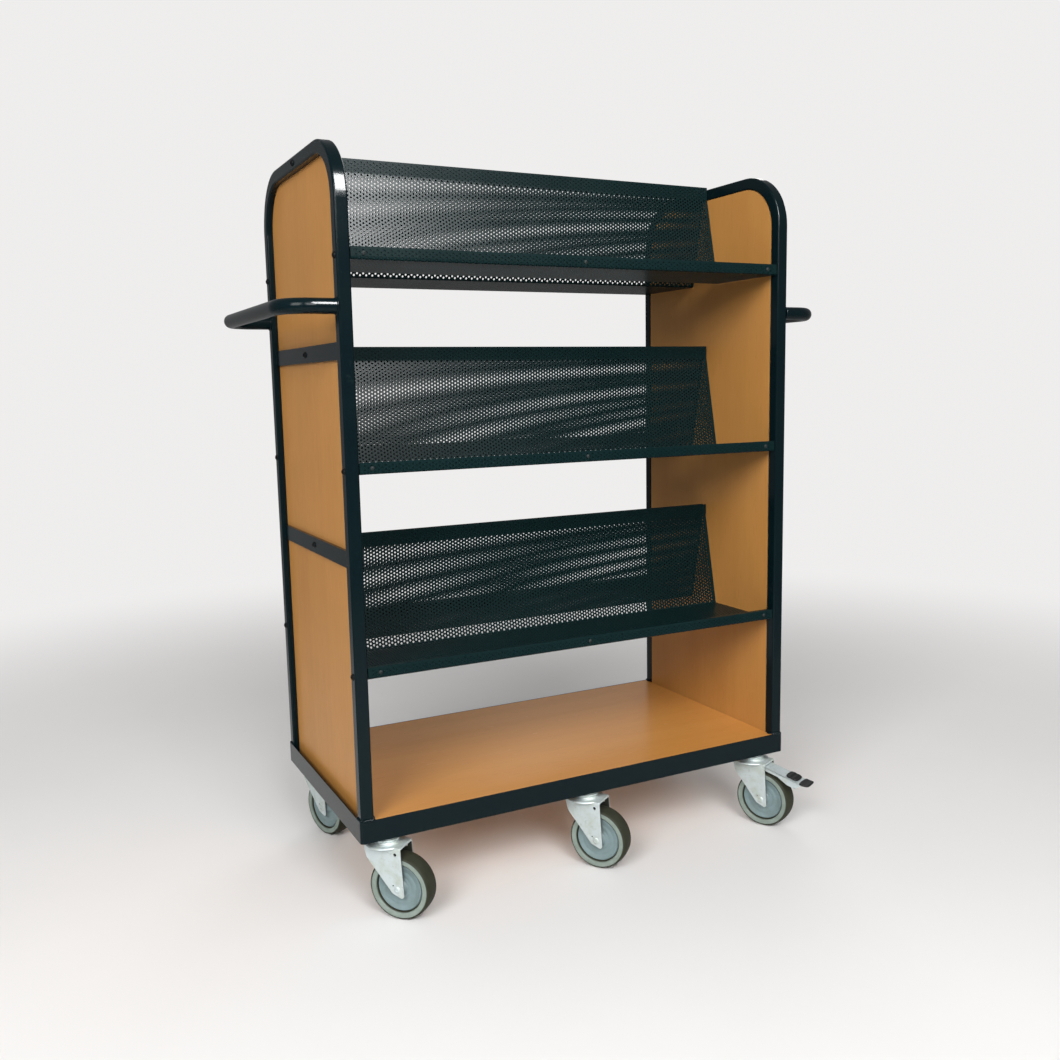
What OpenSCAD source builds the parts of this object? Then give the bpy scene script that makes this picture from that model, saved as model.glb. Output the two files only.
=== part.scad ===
// Double sided book trolley: two bent tube end frames with beech panels, three tiers of
// sloping perforated steel shelves, a beech deck in a steel base and six swivel castors.
// Origin: on the floor under the middle of the trolley. X runs along the shelves, Y to the
// rear side and Z up. Castors stand at the angles that they had when the trolley stopped.

/* [End frames] */
// Length over the outer faces of the two end frames
frame_l = 790; // [640:5:1100]
// Depth over the front and rear posts
frame_d = 408; // [380:2:480]
// Height of the top of the end frames above the floor
frame_top = 1147; // [1120:1:1220]
// Side of the square frame tube
tube = 20; // [18:0.5:25]
// Wall of the square frame tube
tube_wall = 1.5; // [1:0.1:2.5]
// Radius of the long edges of the square frame tube
tube_edge_r = 3; // [2.6:0.1:4]
// Outer radius of the two bends at the top of an end frame
bend_r = 92; // [60:1:120]

/* [End panels] */
// Thickness of a beech end panel
panel_t = 9; // [6:0.5:9.5]
// Depth of the panel face behind the outer face of the frame tube
panel_inset = 10.5; // [8:0.5:11]
// Gap between the edge of a panel and the frame tube
panel_gap = 0.3; // [0.1:0.1:1]
// Height of a flat cross bar
bar_h = 25; // [16:1:40]
// Thickness of a flat cross bar
bar_t = 5; // [3:0.5:7]

/* [Base] */
// Height of the underside of the base frame, which is the height of a castor
castor_h = 130; // [128:1:140]
// Height of the upright flange of the base frame
base_h = 34; // [28:1:45]
// Thickness of the base frame steel
base_wall = 2; // [1.5:0.5:3]
// Width of the leg under the deck, measured from the outer face
base_leg = 45; // [42:1:60]
// Gap between the deck board and the steel around it
deck_gap = 0.4; // [0.2:0.1:1.5]

/* [Shelves] */
// Height of the top edge of the lowest lip above the floor
low_lip_z = 394; // [360:1:430]
// Height between one tier and the next
tier_pitch = 298.5; // [280:0.5:310]
// Height of a ridge above the lips of its own tier
ridge_rise = 169.5; // [140:0.5:180]
// Height of a shelf lip
lip_h = 17.5; // [14:0.5:25]
// Depth of the lip face behind the outer faces of the posts
lip_inset = 2.5; // [2:0.5:4]
// Thickness of the shelf sheet
sheet_t = 1.2; // [0.8:0.1:2]
// Distance between the inner bends of the two sheets of a tier
bend_gap = 74; // [60:1:90]
// Height of the plain band along the top of a sheet
band_h = 22; // [22:1:30]
// Gap between the end of a shelf and the frame tube
shelf_end_gap = 1; // [0.5:0.5:2]
// Thickness of the bar that two sheets are folded against at the ridge
ridge_rail_t = 8; // [7.5:0.5:12]
// Height of the ridge bar
ridge_rail_h = 20; // [14:1:20]
// Depth of the bar behind a lip
lip_rail_d = 12; // [10:0.5:14]
// Distance of the first and last lip screw past the inner end of a post bolt
lip_screw_gap = 4; // [3:1:60]

/* [Handles] */
// Outer diameter of the handle tube
handle_d = 22; // [18:0.5:26]
// Wall of the handle tube
handle_wall = 2; // [1.5:0.5:3]
// Height of the handle above the floor
handle_z = 910; // [890:5:940]
// Distance from the end frame to the outer side of the grip
handle_reach = 84; // [60:1:110]
// Radius of the middle line of a handle bend
handle_bend_r = 42; // [30:1:48]

/* [Bolts] */
// Diameter of the frame bolts
bolt_d = 6; // [5:0.5:6.5]
// Diameter of the domed head of a frame bolt
bolt_head_d = 11; // [10:0.5:13]
// Height of the domed head of a frame bolt
bolt_head_h = 3.3; // [2.5:0.1:4]
// Length of bolt that is screwed into a shelf bar
bolt_grip = 16; // [12:1:40]
// Depth of a post bolt below the top edge of its lip
post_bolt_drop = 12; // [11:0.5:12.5]
// Depth of a ridge bolt below the top edge of its ridge
ridge_bolt_drop = 12.5; // [11:0.5:13]
// Diameter of the lip screws
screw_d = 3.2; // [2.5:0.1:4]
// Diameter of the head of a lip screw
screw_head_d = 6.5; // [5:0.5:8]
// Height of the head of a lip screw
screw_head_h = 1.6; // [1:0.1:2]
// Length of a lip screw behind the lip face
screw_l = 8; // [5:0.5:10]
// Gap round a bolt or screw in a plain hole
hole_gap = 0.25; // [0.1:0.05:0.5]
// Gap round a bolt or screw in a threaded hole
thread_gap = 0.05; // [0.02:0.01:0.1]

/* [Castors] */
// Distance of the end castors from the outer face of the end frames
castor_end = 45; // [42:1:70]
// Distance of the castors from the outer faces of the posts
castor_side = 25; // [22:0.5:28]
// Distance of the wheel axle behind the swivel axis
trail = 27; // [22:0.5:32]
// Diameter of a wheel
wheel_d = 100; // [90:1:102]
// Width of a tyre
tyre_w = 30; // [24:1:32]
// Diameter of the plastic wheel centre
centre_d = 74; // [64:1:78]
// Width of the plastic wheel centre at its face
centre_w = 24; // [20:1:24]
// Radius of the rounded shoulders of a tyre
shoulder_r = 4; // [2:0.5:5]
// Diameter of the wheel axle
axle_d = 8; // [6:0.5:10]
// Gap between a shaft and the bore that turns on it
running_gap = 0.06; // [0.03:0.01:0.1]
// Gap between faces that turn past each other
turning_gap = 0.4; // [0.3:0.1:0.6]
// Thickness of the fork plate
fork_t = 2.5; // [2:0.5:3]
// Gap between the tyre and each fork leg
fork_side_gap = 2.5; // [1.5:0.5:4]
// Diameter of the fork crown
crown_d = 64; // [60:1:70]
// Diameter of the fixed head of a castor
head_d = 44; // [40:1:56]
// Height of the fixed head of a castor
head_h = 8; // [7:0.5:9]
// Width of the sloped rim round the fixed head
head_rim = 4; // [3:0.5:5]
// Diameter of the ball race under the head
race_d = 40; // [36:1:50]
// Height of the ball race under the head
race_h = 5; // [4:0.5:6]
// Diameter of the bolt that holds a castor
king_d = 12; // [10:0.5:14]
// Thickness of the head and of the nut of the castor bolt
king_head_h = 5.5; // [5:0.5:6]
// Angle that each castor is turned by, seen from above: front left, middle, right
front_castor_turns = [-48, -55, -65];
// The same for the rear castors
rear_castor_turns = [-70, 60, 65];

/* [Brakes] */
// Height of the pedal pivot above the wheel axle
pedal_pivot_z = 57.5; // [57:0.5:58]
// Distance of the pedal pivot behind the swivel axis
pedal_pivot_x = 28; // [26:1:31]
// Diameter of the pedal pivot pin
pedal_pin_d = 5; // [4:0.5:5.5]
// Slope of the raised pedal below the level
pedal_slope = 15; // [12:1:18]
// Length of the pedal from its pivot
pedal_l = 88; // [75:1:95]
// Thickness of the pedal plate
pedal_t = 2; // [1.5:0.5:2.5]
// Width of the pedal
pedal_w = 30; // [26:1:30]
// Width of the foot pad on the pedal
pad_w = 34; // [30:1:40]
// Thickness of the foot pad
pad_t = 5; // [4:0.5:7]
// Length of the foot pad
pad_l = 46; // [36:1:50]
// Length of each side cheek of the pedal
cheek_l = 74; // [70:1:75]
// Height of the deep part of a cheek, behind the tyre
cheek_h = 8; // [6:0.5:9]
// Distance from the pivot at which a cheek is clear of the tyre
cheek_clear = 50; // [48:1:52]
// Length of the deep part of a cheek
cheek_deep_l = 16; // [10:1:18]

/* [Hidden] */
$fn = 64;
half_l = frame_l / 2;
half_d = frame_d / 2;
cut = 1;
steel = "#1c2c2d";
beech = "#bd8b57";
zinc = "#b4b8b6";
rubber = "#3b3a34";
plastic = "#8d999c";
black = "#151515";

// Base and deck
base_top = castor_h + base_h;
deck_t = base_h - base_wall;
deck_l = frame_l - 2 * max(tube, panel_inset + panel_t) - 2 * deck_gap;
base_corner_r = tube_edge_r + base_wall;

// Tiers, counted from the lowest, and their ridges: the top one is bolted to the top tubes
tiers = [0, 1, 2];
top_tier = 2;
sides = [-1, 1];
function lip_z(tier) = low_lip_z + tier * tier_pitch;
function ridge_bolt_z(tier) =
    tier == top_tier ? frame_top - tube / 2 : lip_z(tier) + ridge_rise - ridge_bolt_drop;
function ridge_z(tier) = ridge_bolt_z(tier) + ridge_bolt_drop;
shelf_l = frame_l - 2 * tube - 2 * shelf_end_gap;
lip_y = half_d - lip_inset;
lip_rail_y = lip_y - sheet_t - lip_rail_d / 2;
lip_rail_h = lip_h - sheet_t - 1.6;
bar_face_x = half_l - panel_inset + bar_t;
lip_screw_x = half_l - tube - bolt_grip - lip_screw_gap;

// Castors
wheel_r = wheel_d / 2;
castor_x = half_l - castor_end;
castor_y = half_d - castor_side;
head_z = castor_h - head_h;
race_z = head_z - turning_gap;
crown_z = race_z - race_h;
crown_under = crown_z - 3;
king_head_z = crown_under - turning_gap;
nut_z = castor_h + base_wall;
king_top = nut_z + king_head_h + 3;
leg_in = tyre_w / 2 + fork_side_gap;
leg_out = leg_in + fork_t;
axle_head_rim = 1.5;
axle_head_h = 1.6;
axle_head_d = axle_d + 2 * axle_head_rim;
hub_wall = 5;
tip_r = 8;
leg_front = -27;
leg_back = trail + tip_r - 1;
leg_straight = 20;
pedal_z = wheel_r + pedal_pivot_z;
pedal_boss_r = pedal_pin_d / 2 + 2;
places = [
    [[-castor_x, -castor_y], front_castor_turns[0]],
    [[0, -castor_y], front_castor_turns[1]],
    [[castor_x, -castor_y], front_castor_turns[2]],
    [[-castor_x, castor_y], rear_castor_turns[0]],
    [[0, castor_y], rear_castor_turns[1]],
    [[castor_x, castor_y], rear_castor_turns[2]]
];
FRONT_LEFT = 0;
FRONT_MIDDLE = 1;
FRONT_RIGHT = 2;
REAR_LEFT = 3;
REAR_MIDDLE = 4;
REAR_RIGHT = 5;

// Square with true round corners, centred
module round_square(side, r) {
    square([side - 2 * r, side], center = true);
    square([side, side - 2 * r], center = true);
    for (x = sides, y = sides)
        translate([x * (side / 2 - r), y * (side / 2 - r)])
            circle(r);
}

// Rectangle with true round corners, centred
module round_rectangle(length, depth, r) {
    square([length - 2 * r, depth], center = true);
    square([length, depth - 2 * r], center = true);
    for (x = sides, y = sides)
        translate([x * (length / 2 - r), y * (depth / 2 - r)])
            circle(r);
}

// Cross section of the frame tube
module tube_section() {
    difference() {
        round_square(tube, tube_edge_r);
        round_square(tube - 2 * tube_wall, tube_edge_r - tube_wall);
    }
}

// Cylinder along X that starts at x and runs towards the middle of the trolley
module inward_rod(side, x, y, z, d, length) {
    translate([side * x, y, z])
        rotate([0, -side * 90, 0])
            cylinder(d = d, h = length);
}

// Steel angle round the deck, with its lower leg under the board
module base_frame() {
    color(steel)
        difference() {
            translate([0, 0, castor_h])
                linear_extrude(base_h)
                    round_rectangle(frame_l + 2 * base_wall, frame_d + 2 * base_wall, base_corner_r);
            translate([0, 0, castor_h + base_wall])
                linear_extrude(base_h)
                    round_rectangle(frame_l, frame_d, tube_edge_r);
            cube([frame_l + 2 * (base_wall - base_leg), frame_d + 2 * (base_wall - base_leg),
                  3 * castor_h], center = true);
            for (place = places)
                translate([place[0].x, place[0].y, castor_h - cut])
                    cylinder(d = king_d + 2 * hole_gap, h = base_wall + 2 * cut);
        }
}

// Beech board that lies in the base frame, between the posts and the end panels
module deck_board() {
    color(beech)
        difference() {
            translate([-deck_l / 2, -half_d + deck_gap, nut_z])
                cube([deck_l, frame_d - 2 * deck_gap, deck_t]);
            for (place = places)
                translate([place[0].x, place[0].y, nut_z - cut])
                    cylinder(d = 2 * king_d + 3, h = king_top - nut_z + 2 * cut);
        }
}

// Holes through an end frame for the post bolts, and for the top ridge bolt
module end_frame_holes(side) {
    for (tier = tiers, y = sides)
        inward_rod(side, half_l + cut, y * (half_d - tube / 2), lip_z(tier) - post_bolt_drop,
                   bolt_d + 2 * hole_gap, tube + 2 * cut);
    inward_rod(side, half_l + cut, 0, ridge_bolt_z(top_tier), bolt_d + 2 * hole_gap, tube + 2 * cut);
}

// One end frame: a square tube bent into an upside down U, standing on the base leg
module end_frame(side) {
    middle_r = bend_r - tube / 2;
    color(steel)
        difference() {
            translate([side * (half_l - tube / 2), 0, 0])
                union() {
                    for (y = sides) {
                        translate([0, y * (half_d - tube / 2), nut_z])
                            linear_extrude(frame_top - bend_r - nut_z)
                                tube_section();
                        translate([0, y * (half_d - bend_r), frame_top - bend_r])
                            rotate([90, 0, y * 90])
                                rotate_extrude(angle = 90)
                                    translate([middle_r, 0])
                                        tube_section();
                    }
                    translate([0, bend_r - half_d, frame_top - tube / 2])
                        rotate([-90, 0, 0])
                            linear_extrude(frame_d - 2 * bend_r)
                                tube_section();
                }
            end_frame_holes(side);
        }
}

// Outline of an end panel, seen from the end: flat at the foot, round at the top corners
module panel_outline() {
    edge = tube + panel_gap;
    r = bend_r - edge;
    half_w = half_d - edge;
    translate([-half_w, nut_z])
        square([2 * half_w, frame_top - bend_r - nut_z]);
    translate([-half_w + r, nut_z])
        square([2 * (half_w - r), frame_top - edge - nut_z]);
    for (y = sides)
        translate([y * (half_d - bend_r), frame_top - bend_r])
            circle(r);
}

// Beech panel that fills an end frame and stands on the base leg beside the deck board
module end_panel(side) {
    inner_x = half_l - panel_inset - panel_t;
    color(beech)
        difference() {
            translate([side > 0 ? inner_x : -inner_x - panel_t, 0, 0])
                rotate([90, 0, 90])
                    linear_extrude(panel_t)
                        panel_outline();
            for (tier = [0, 1])
                inward_rod(side, half_l, 0, ridge_bolt_z(tier), bolt_d + 2 * hole_gap,
                           panel_inset + panel_t + cut);
        }
}

// Flat bar between the two posts of an end frame, over the outer face of the panel
module cross_bar(side, tier) {
    color(steel)
        difference() {
            translate([side * (bar_face_x - bar_t / 2), 0, ridge_bolt_z(tier)])
                cube([bar_t, frame_d - 2 * tube, bar_h], center = true);
            inward_rod(side, half_l, 0, ridge_bolt_z(tier), bolt_d + 2 * hole_gap,
                       panel_inset + cut);
        }
}

// Normal to the left of the line from a to b
function left_of(a, b) = let (d = (b - a) / norm(b - a)) [-d.y, d.x];

// Point i of path p, moved t to the left with mitred corners
function moved(p, i, t) =
    i == 0 ? p[0] + t * left_of(p[0], p[1]) :
    i == len(p) - 1 ? p[i] + t * left_of(p[i - 1], p[i]) :
    let (n = left_of(p[i - 1], p[i]), m = left_of(p[i], p[i + 1]))
        p[i] + t * (n + m) / (1 + n * m);

// Path of the under side of a front sheet: lip, tray, leaning back and plain band
function sheet_path(tier) = [
    [-lip_y, lip_z(tier)],
    [-lip_y, lip_z(tier) - lip_h],
    [-bend_gap / 2, lip_z(tier) - lip_h],
    [-ridge_rail_t / 2, ridge_z(tier) - band_h],
    [-ridge_rail_t / 2, ridge_z(tier)]
];

// Places of the three screws in a lip
lip_screw_places = [-lip_screw_x, 0, lip_screw_x];

// One bent shelf sheet, for the front (side -1) or the rear (side 1)
module shelf(tier, side) {
    path = sheet_path(tier);
    last = len(path) - 1;
    upper = [for (i = [last:-1:0]) moved(path, i, sheet_t)];
    color(steel)
        difference() {
            mirror([0, side > 0 ? 1 : 0, 0])
                translate([-shelf_l / 2, 0, 0])
                    rotate([90, 0, 90])
                        linear_extrude(shelf_l)
                            polygon(concat(path, upper));
            for (x = lip_screw_places)
                translate([x, side * (lip_y + cut), lip_z(tier) - lip_h / 2])
                    rotate([side * 90, 0, 0])
                        cylinder(d = screw_d + 2 * hole_gap, h = 2 * cut + sheet_t);
        }
}

// Steel bar between the two sheets of a tier, tapped at both ends
module ridge_rail(tier) {
    color(steel)
        difference() {
            translate([0, 0, ridge_bolt_z(tier)])
                cube([shelf_l, ridge_rail_t, ridge_rail_h], center = true);
            for (side = sides)
                inward_rod(side, half_l, 0, ridge_bolt_z(tier), bolt_d + 2 * thread_gap,
                           tube + bolt_grip + cut);
        }
}

// Steel bars behind the lips of one side, tapped at both ends for the post bolts
module lip_rails(side) {
    color(steel)
        for (tier = tiers)
            difference() {
                translate([0, side * lip_rail_y, lip_z(tier) - 1.5 - lip_rail_h / 2])
                    cube([shelf_l, lip_rail_d, lip_rail_h], center = true);
                for (end = sides)
                    inward_rod(end, half_l, side * (half_d - tube / 2),
                               lip_z(tier) - post_bolt_drop, bolt_d + 2 * thread_gap,
                               tube + bolt_grip + cut);
                for (x = lip_screw_places)
                    translate([x, side * (lip_y + cut), lip_z(tier) - lip_h / 2])
                        rotate([side * 90, 0, 0])
                            cylinder(d = screw_d + 2 * thread_gap, h = 2 * cut + screw_l);
            }
}

// Round tube handle on one end: two legs from the posts, two bends and a straight grip
module handle(side) {
    leg_y = half_d - tube / 2;
    reach = handle_reach - handle_d / 2;
    color(steel)
        translate([side * half_l, 0, handle_z])
            rotate([0, 0, side > 0 ? 0 : 180]) {
                for (y = sides) {
                    translate([0, y * leg_y, 0])
                        rotate([0, 90, 0])
                            linear_extrude(reach - handle_bend_r)
                                handle_section();
                    translate([reach - handle_bend_r, y * (leg_y - handle_bend_r), 0])
                        rotate([0, 0, y > 0 ? 0 : -90])
                            rotate_extrude(angle = 90)
                                translate([handle_bend_r, 0])
                                    handle_section();
                }
                translate([reach, handle_bend_r - leg_y, 0])
                    rotate([-90, 0, 0])
                        linear_extrude(2 * (leg_y - handle_bend_r))
                            handle_section();
            }
}

// Cross section of the handle tube
module handle_section() {
    difference() {
        circle(d = handle_d);
        circle(d = handle_d - 2 * handle_wall);
    }
}

// Domed head with a hexagon socket, its flat seat at z = 0 and its top at z = h
module domed_head(d, h, socket) {
    ball_r = (h * h + d * d / 4) / (2 * h);
    difference() {
        intersection() {
            translate([0, 0, h - ball_r])
                sphere(ball_r, $fn = 96);
            cylinder(d = d, h = h + cut);
        }
        translate([0, 0, h * 0.4])
            cylinder(d = socket, h = h, $fn = 6);
    }
}

// Bolt along X with its head outside face x, screwed in towards the middle
module frame_bolt(side, x, y, z, length) {
    translate([side * x, y, z])
        rotate([0, side * 90, 0]) {
            domed_head(bolt_head_d, bolt_head_h, bolt_d * 0.72);
            translate([0, 0, -length])
                cylinder(d = bolt_d, h = length);
        }
}

// Bolts through the posts into the bars behind the lips
module post_bolts() {
    color(black)
        for (end = sides, y = sides, tier = tiers)
            frame_bolt(end, half_l, y * (half_d - tube / 2), lip_z(tier) - post_bolt_drop,
                       tube + bolt_grip);
}

// Bolts through the cross bars and panels, or through the top tube, into the ridge bars
module ridge_bolts() {
    color(black)
        for (end = sides, tier = tiers) {
            x = tier == top_tier ? half_l : bar_face_x;
            frame_bolt(end, x, 0, ridge_bolt_z(tier), x - half_l + tube + bolt_grip);
        }
}

// Small screws that hold each lip to the bar behind it
module lip_screws() {
    color(zinc)
        for (side = sides, tier = tiers, x = lip_screw_places)
            translate([x, side * lip_y, lip_z(tier) - lip_h / 2])
                rotate([-side * 90, 0, 0]) {
                    domed_head(screw_head_d, screw_head_h, screw_d * 0.6);
                    translate([0, 0, -screw_l])
                        cylinder(d = screw_d, h = screw_l);
                }
}

// Bolts that hang the castors from the base leg: hexagon head under the fork crown
module castor_bolts() {
    color(zinc)
        for (place = places)
            translate([place[0].x, place[0].y, 0]) {
                translate([0, 0, king_head_z - king_head_h])
                    cylinder(d = king_d * 1.6, h = king_head_h, $fn = 6);
                translate([0, 0, king_head_z - cut])
                    cylinder(d = king_d, h = king_top - king_head_z + cut);
            }
}

// Nuts of the castor bolts, in pockets under the deck board
module castor_nuts() {
    color(zinc)
        for (place = places)
            translate([place[0].x, place[0].y, nut_z])
                difference() {
                    cylinder(d = king_d * 1.7, h = king_head_h, $fn = 6);
                    translate([0, 0, -cut])
                        cylinder(d = king_d + 2 * thread_gap, h = king_head_h + 2 * cut);
                }
}

// Fixed upper race of each castor, tight against the base leg
module castor_heads() {
    color(zinc)
        for (place = places)
            translate([place[0].x, place[0].y, head_z])
                difference() {
                    union() {
                        cylinder(d = head_d, h = head_h - 2.5);
                        cylinder(d = head_d - 2 * head_rim, h = head_h);
                    }
                    translate([0, 0, -cut])
                        cylinder(d = king_d + 2 * hole_gap, h = head_h + 2 * cut);
                }
}

// Puts a castor piece at its place, turned to the angle of that castor
module at_castor(i) {
    translate([places[i][0].x, places[i][0].y, 0])
        rotate([0, 0, places[i][1]])
            children();
}

// Outline of a fork leg, seen from the side: upright at the back, cut away in front
module leg_outline() {
    polygon([
        [leg_front, crown_z], [leg_front, crown_under - leg_straight],
        [trail - tip_r * 0.8, wheel_r - tip_r * 0.6], [trail, wheel_r - tip_r * 0.5],
        [leg_back, wheel_r], [leg_back, crown_z]
    ]);
    translate([trail, wheel_r])
        circle(tip_r);
}

// Swivelling fork: ball race, crown plate and two legs, with a pivot hole where it has a brake
module fork(i, braked) {
    color(zinc)
        at_castor(i)
            difference() {
                union() {
                    translate([0, 0, crown_z])
                        cylinder(d = race_d, h = race_h);
                    translate([0, 0, crown_under])
                        linear_extrude(crown_z - crown_under) {
                            circle(d = crown_d);
                            translate([0, -leg_out])
                                square([leg_back, 2 * leg_out]);
                        }
                    for (y = [-leg_out, leg_in])
                        translate([0, y + fork_t, 0])
                            rotate([90, 0, 0])
                                linear_extrude(fork_t)
                                    leg_outline();
                }
                translate([0, 0, crown_under - cut])
                    cylinder(d = king_d + 2 * running_gap, h = race_h + crown_d);
                fork_hole(trail, wheel_r, axle_d + 2 * thread_gap);
                if (braked)
                    fork_hole(pedal_pivot_x, pedal_z, pedal_pin_d + 2 * thread_gap);
            }
}

// Hole through both fork legs
module fork_hole(x, z, d) {
    translate([x, leg_out + cut, z])
        rotate([90, 0, 0])
            cylinder(d = d, h = 2 * (leg_out + cut));
}

// Wheel axle with a round head outside each fork leg
module axle(i) {
    color(zinc)
        at_castor(i)
            translate([trail, 0, wheel_r])
                rotate([90, 0, 0]) {
                    translate([0, 0, -leg_out])
                        cylinder(d = axle_d, h = 2 * leg_out);
                    for (side = sides)
                        rotate([side > 0 ? 0 : 180, 0, 0])
                            translate([0, 0, leg_out])
                                domed_head(axle_head_d, axle_head_h, axle_d * 0.6);
                }
}

// Turns a profile drawn as radius against width round the axle of a castor
module round_axle(i) {
    at_castor(i)
        translate([trail, 0, wheel_r])
            rotate([90, 0, 0])
                rotate_extrude($fn = 128)
                    children();
}

// Plastic wheel centre: hub, dished web and flat rim
module wheel_centre(i) {
    bore_r = axle_d / 2 + running_gap;
    rim_r = centre_d / 2;
    hub_half = leg_in - 0.9;
    hub_r = bore_r + hub_wall;
    half_w = centre_w / 2;
    color(plastic)
        round_axle(i)
            polygon([
                [bore_r, -hub_half], [hub_r, -hub_half], [hub_r + 3, -half_w + 1],
                [rim_r - 4, -half_w + 1], [rim_r - 3, -half_w], [rim_r, -half_w],
                [rim_r, half_w], [rim_r - 3, half_w], [rim_r - 4, half_w - 1],
                [hub_r + 3, half_w - 1], [hub_r, hub_half], [bore_r, hub_half]
            ]);
}

// Rubber tyre with round shoulders and a step down to the wheel centre
module tyre(i) {
    rim_r = centre_d / 2;
    half_w = tyre_w / 2;
    color(rubber)
        round_axle(i) {
            translate([rim_r, -centre_w / 2])
                square([3, centre_w]);
            translate([rim_r + 1.5, -half_w])
                square([wheel_r - shoulder_r - rim_r - 1.5, tyre_w]);
            translate([rim_r + 1.5, -half_w + shoulder_r])
                square([wheel_r - rim_r - 1.5, tyre_w - 2 * shoulder_r]);
            for (y = sides)
                translate([wheel_r - shoulder_r, y * (half_w - shoulder_r)])
                    circle(shoulder_r);
        }
}

// Puts a pedal piece at its pivot, with X along the raised pedal
module at_pedal(i) {
    at_castor(i)
        translate([pedal_pivot_x, 0, pedal_z])
            rotate([0, pedal_slope, 0])
                children();
}

// Side cheek of the pedal, shallow over the wheel and deeper behind it
module cheek_outline() {
    shallow_h = pedal_t;
    slope_x = cheek_clear * 0.6;
    polygon([
        [0, -shallow_h], [slope_x, -shallow_h], [cheek_clear, -cheek_h],
        [cheek_clear + cheek_deep_l, -cheek_h], [cheek_l, pedal_boss_r - pedal_t],
        [cheek_l, pedal_boss_r], [0, pedal_boss_r]
    ]);
    circle(pedal_boss_r);
}

// Zinc brake pedal: a top plate with a cheek on each side, turning on its pin
module brake_pedal(i) {
    color(zinc)
        at_pedal(i)
            difference() {
                union() {
                    translate([0, -pedal_w / 2, pedal_boss_r - pedal_t])
                        cube([pedal_l, pedal_w, pedal_t]);
                    for (y = [-pedal_w / 2, pedal_w / 2 - pedal_t])
                        translate([0, y + pedal_t, 0])
                            rotate([90, 0, 0])
                                linear_extrude(pedal_t)
                                    cheek_outline();
                }
                rotate([90, 0, 0])
                    translate([0, 0, -pedal_w])
                        cylinder(d = pedal_pin_d + 2 * running_gap, h = 2 * pedal_w);
            }
}

// Black foot pad that lies on the outer end of the pedal plate
module pedal_pad(i) {
    color(black)
        at_pedal(i)
            translate([pedal_l - pad_l, -pad_w / 2, pedal_boss_r])
                difference() {
                    cube([pad_l, pad_w, pad_t]);
                    for (n = [1:3])
                        translate([n * pad_l / 4 - 1.5, -cut, pad_t - 1.5])
                            cube([3, pad_w + 2 * cut, pad_t]);
                }
}

// Pin that the pedal turns on, held by both fork legs
module pedal_pin(i) {
    color(zinc)
        at_castor(i)
            translate([pedal_pivot_x, leg_out + 1, pedal_z])
                rotate([90, 0, 0])
                    cylinder(d = pedal_pin_d, h = 2 * (leg_out + 1));
}

base_frame();
deck_board();
end_frame(-1);  // left_end_frame
end_frame(1);  // right_end_frame
end_panel(-1);  // left_end_panel
end_panel(1);  // right_end_panel
cross_bar(-1, 1);  // left_upper_cross_bar
cross_bar(-1, 0);  // left_lower_cross_bar
cross_bar(1, 1);  // right_upper_cross_bar
cross_bar(1, 0);  // right_lower_cross_bar
shelf(2, -1);  // top_front_shelf
shelf(2, 1);  // top_rear_shelf
shelf(1, -1);  // middle_front_shelf
shelf(1, 1);  // middle_rear_shelf
shelf(0, -1);  // lower_front_shelf
shelf(0, 1);  // lower_rear_shelf
ridge_rail(2);  // top_ridge_rail
ridge_rail(1);  // middle_ridge_rail
ridge_rail(0);  // lower_ridge_rail
lip_rails(-1);  // front_lip_rails
lip_rails(1);  // rear_lip_rails
handle(-1);  // left_handle
handle(1);  // right_handle
post_bolts();
ridge_bolts();
lip_screws();
castor_bolts();
castor_nuts();
castor_heads();
fork(FRONT_LEFT, false);  // front_left_fork
axle(FRONT_LEFT);  // front_left_axle
wheel_centre(FRONT_LEFT);  // front_left_wheel_centre
tyre(FRONT_LEFT);  // front_left_tyre
fork(FRONT_MIDDLE, false);  // front_middle_fork
axle(FRONT_MIDDLE);  // front_middle_axle
wheel_centre(FRONT_MIDDLE);  // front_middle_wheel_centre
tyre(FRONT_MIDDLE);  // front_middle_tyre
fork(FRONT_RIGHT, true);  // front_right_fork
axle(FRONT_RIGHT);  // front_right_axle
wheel_centre(FRONT_RIGHT);  // front_right_wheel_centre
tyre(FRONT_RIGHT);  // front_right_tyre
fork(REAR_LEFT, false);  // rear_left_fork
axle(REAR_LEFT);  // rear_left_axle
wheel_centre(REAR_LEFT);  // rear_left_wheel_centre
tyre(REAR_LEFT);  // rear_left_tyre
fork(REAR_MIDDLE, false);  // rear_middle_fork
axle(REAR_MIDDLE);  // rear_middle_axle
wheel_centre(REAR_MIDDLE);  // rear_middle_wheel_centre
tyre(REAR_MIDDLE);  // rear_middle_tyre
fork(REAR_RIGHT, true);  // rear_right_fork
axle(REAR_RIGHT);  // rear_right_axle
wheel_centre(REAR_RIGHT);  // rear_right_wheel_centre
tyre(REAR_RIGHT);  // rear_right_tyre
brake_pedal(FRONT_RIGHT);  // front_right_brake_pedal
pedal_pad(FRONT_RIGHT);  // front_right_pedal_pad
pedal_pin(FRONT_RIGHT);  // front_right_pedal_pin
brake_pedal(REAR_RIGHT);  // rear_right_brake_pedal
pedal_pad(REAR_RIGHT);  // rear_right_pedal_pad
pedal_pin(REAR_RIGHT);  // rear_right_pedal_pin
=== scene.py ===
"""Looks of a double sided book trolley, built round its CAD solids.

The perforated shelf sheets, pressed castor forks, castor heads, moulded wheels, brake pedals and weld
beads are surfaces worked out here with numpy. The tubes, boards, bars, bolts and axles are the CAD
solids, dressed with the finishes below. Lengths are in millimetres until a mesh is made in metres.
X runs along the shelves, Y to the rear side and Z up.
"""

import logging
import math
from dataclasses import dataclass, field
from enum import Enum

import bpy
import numpy as np
from mathutils import Matrix, Vector
from mathutils.geometry import delaunay_2d_cdt

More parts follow.
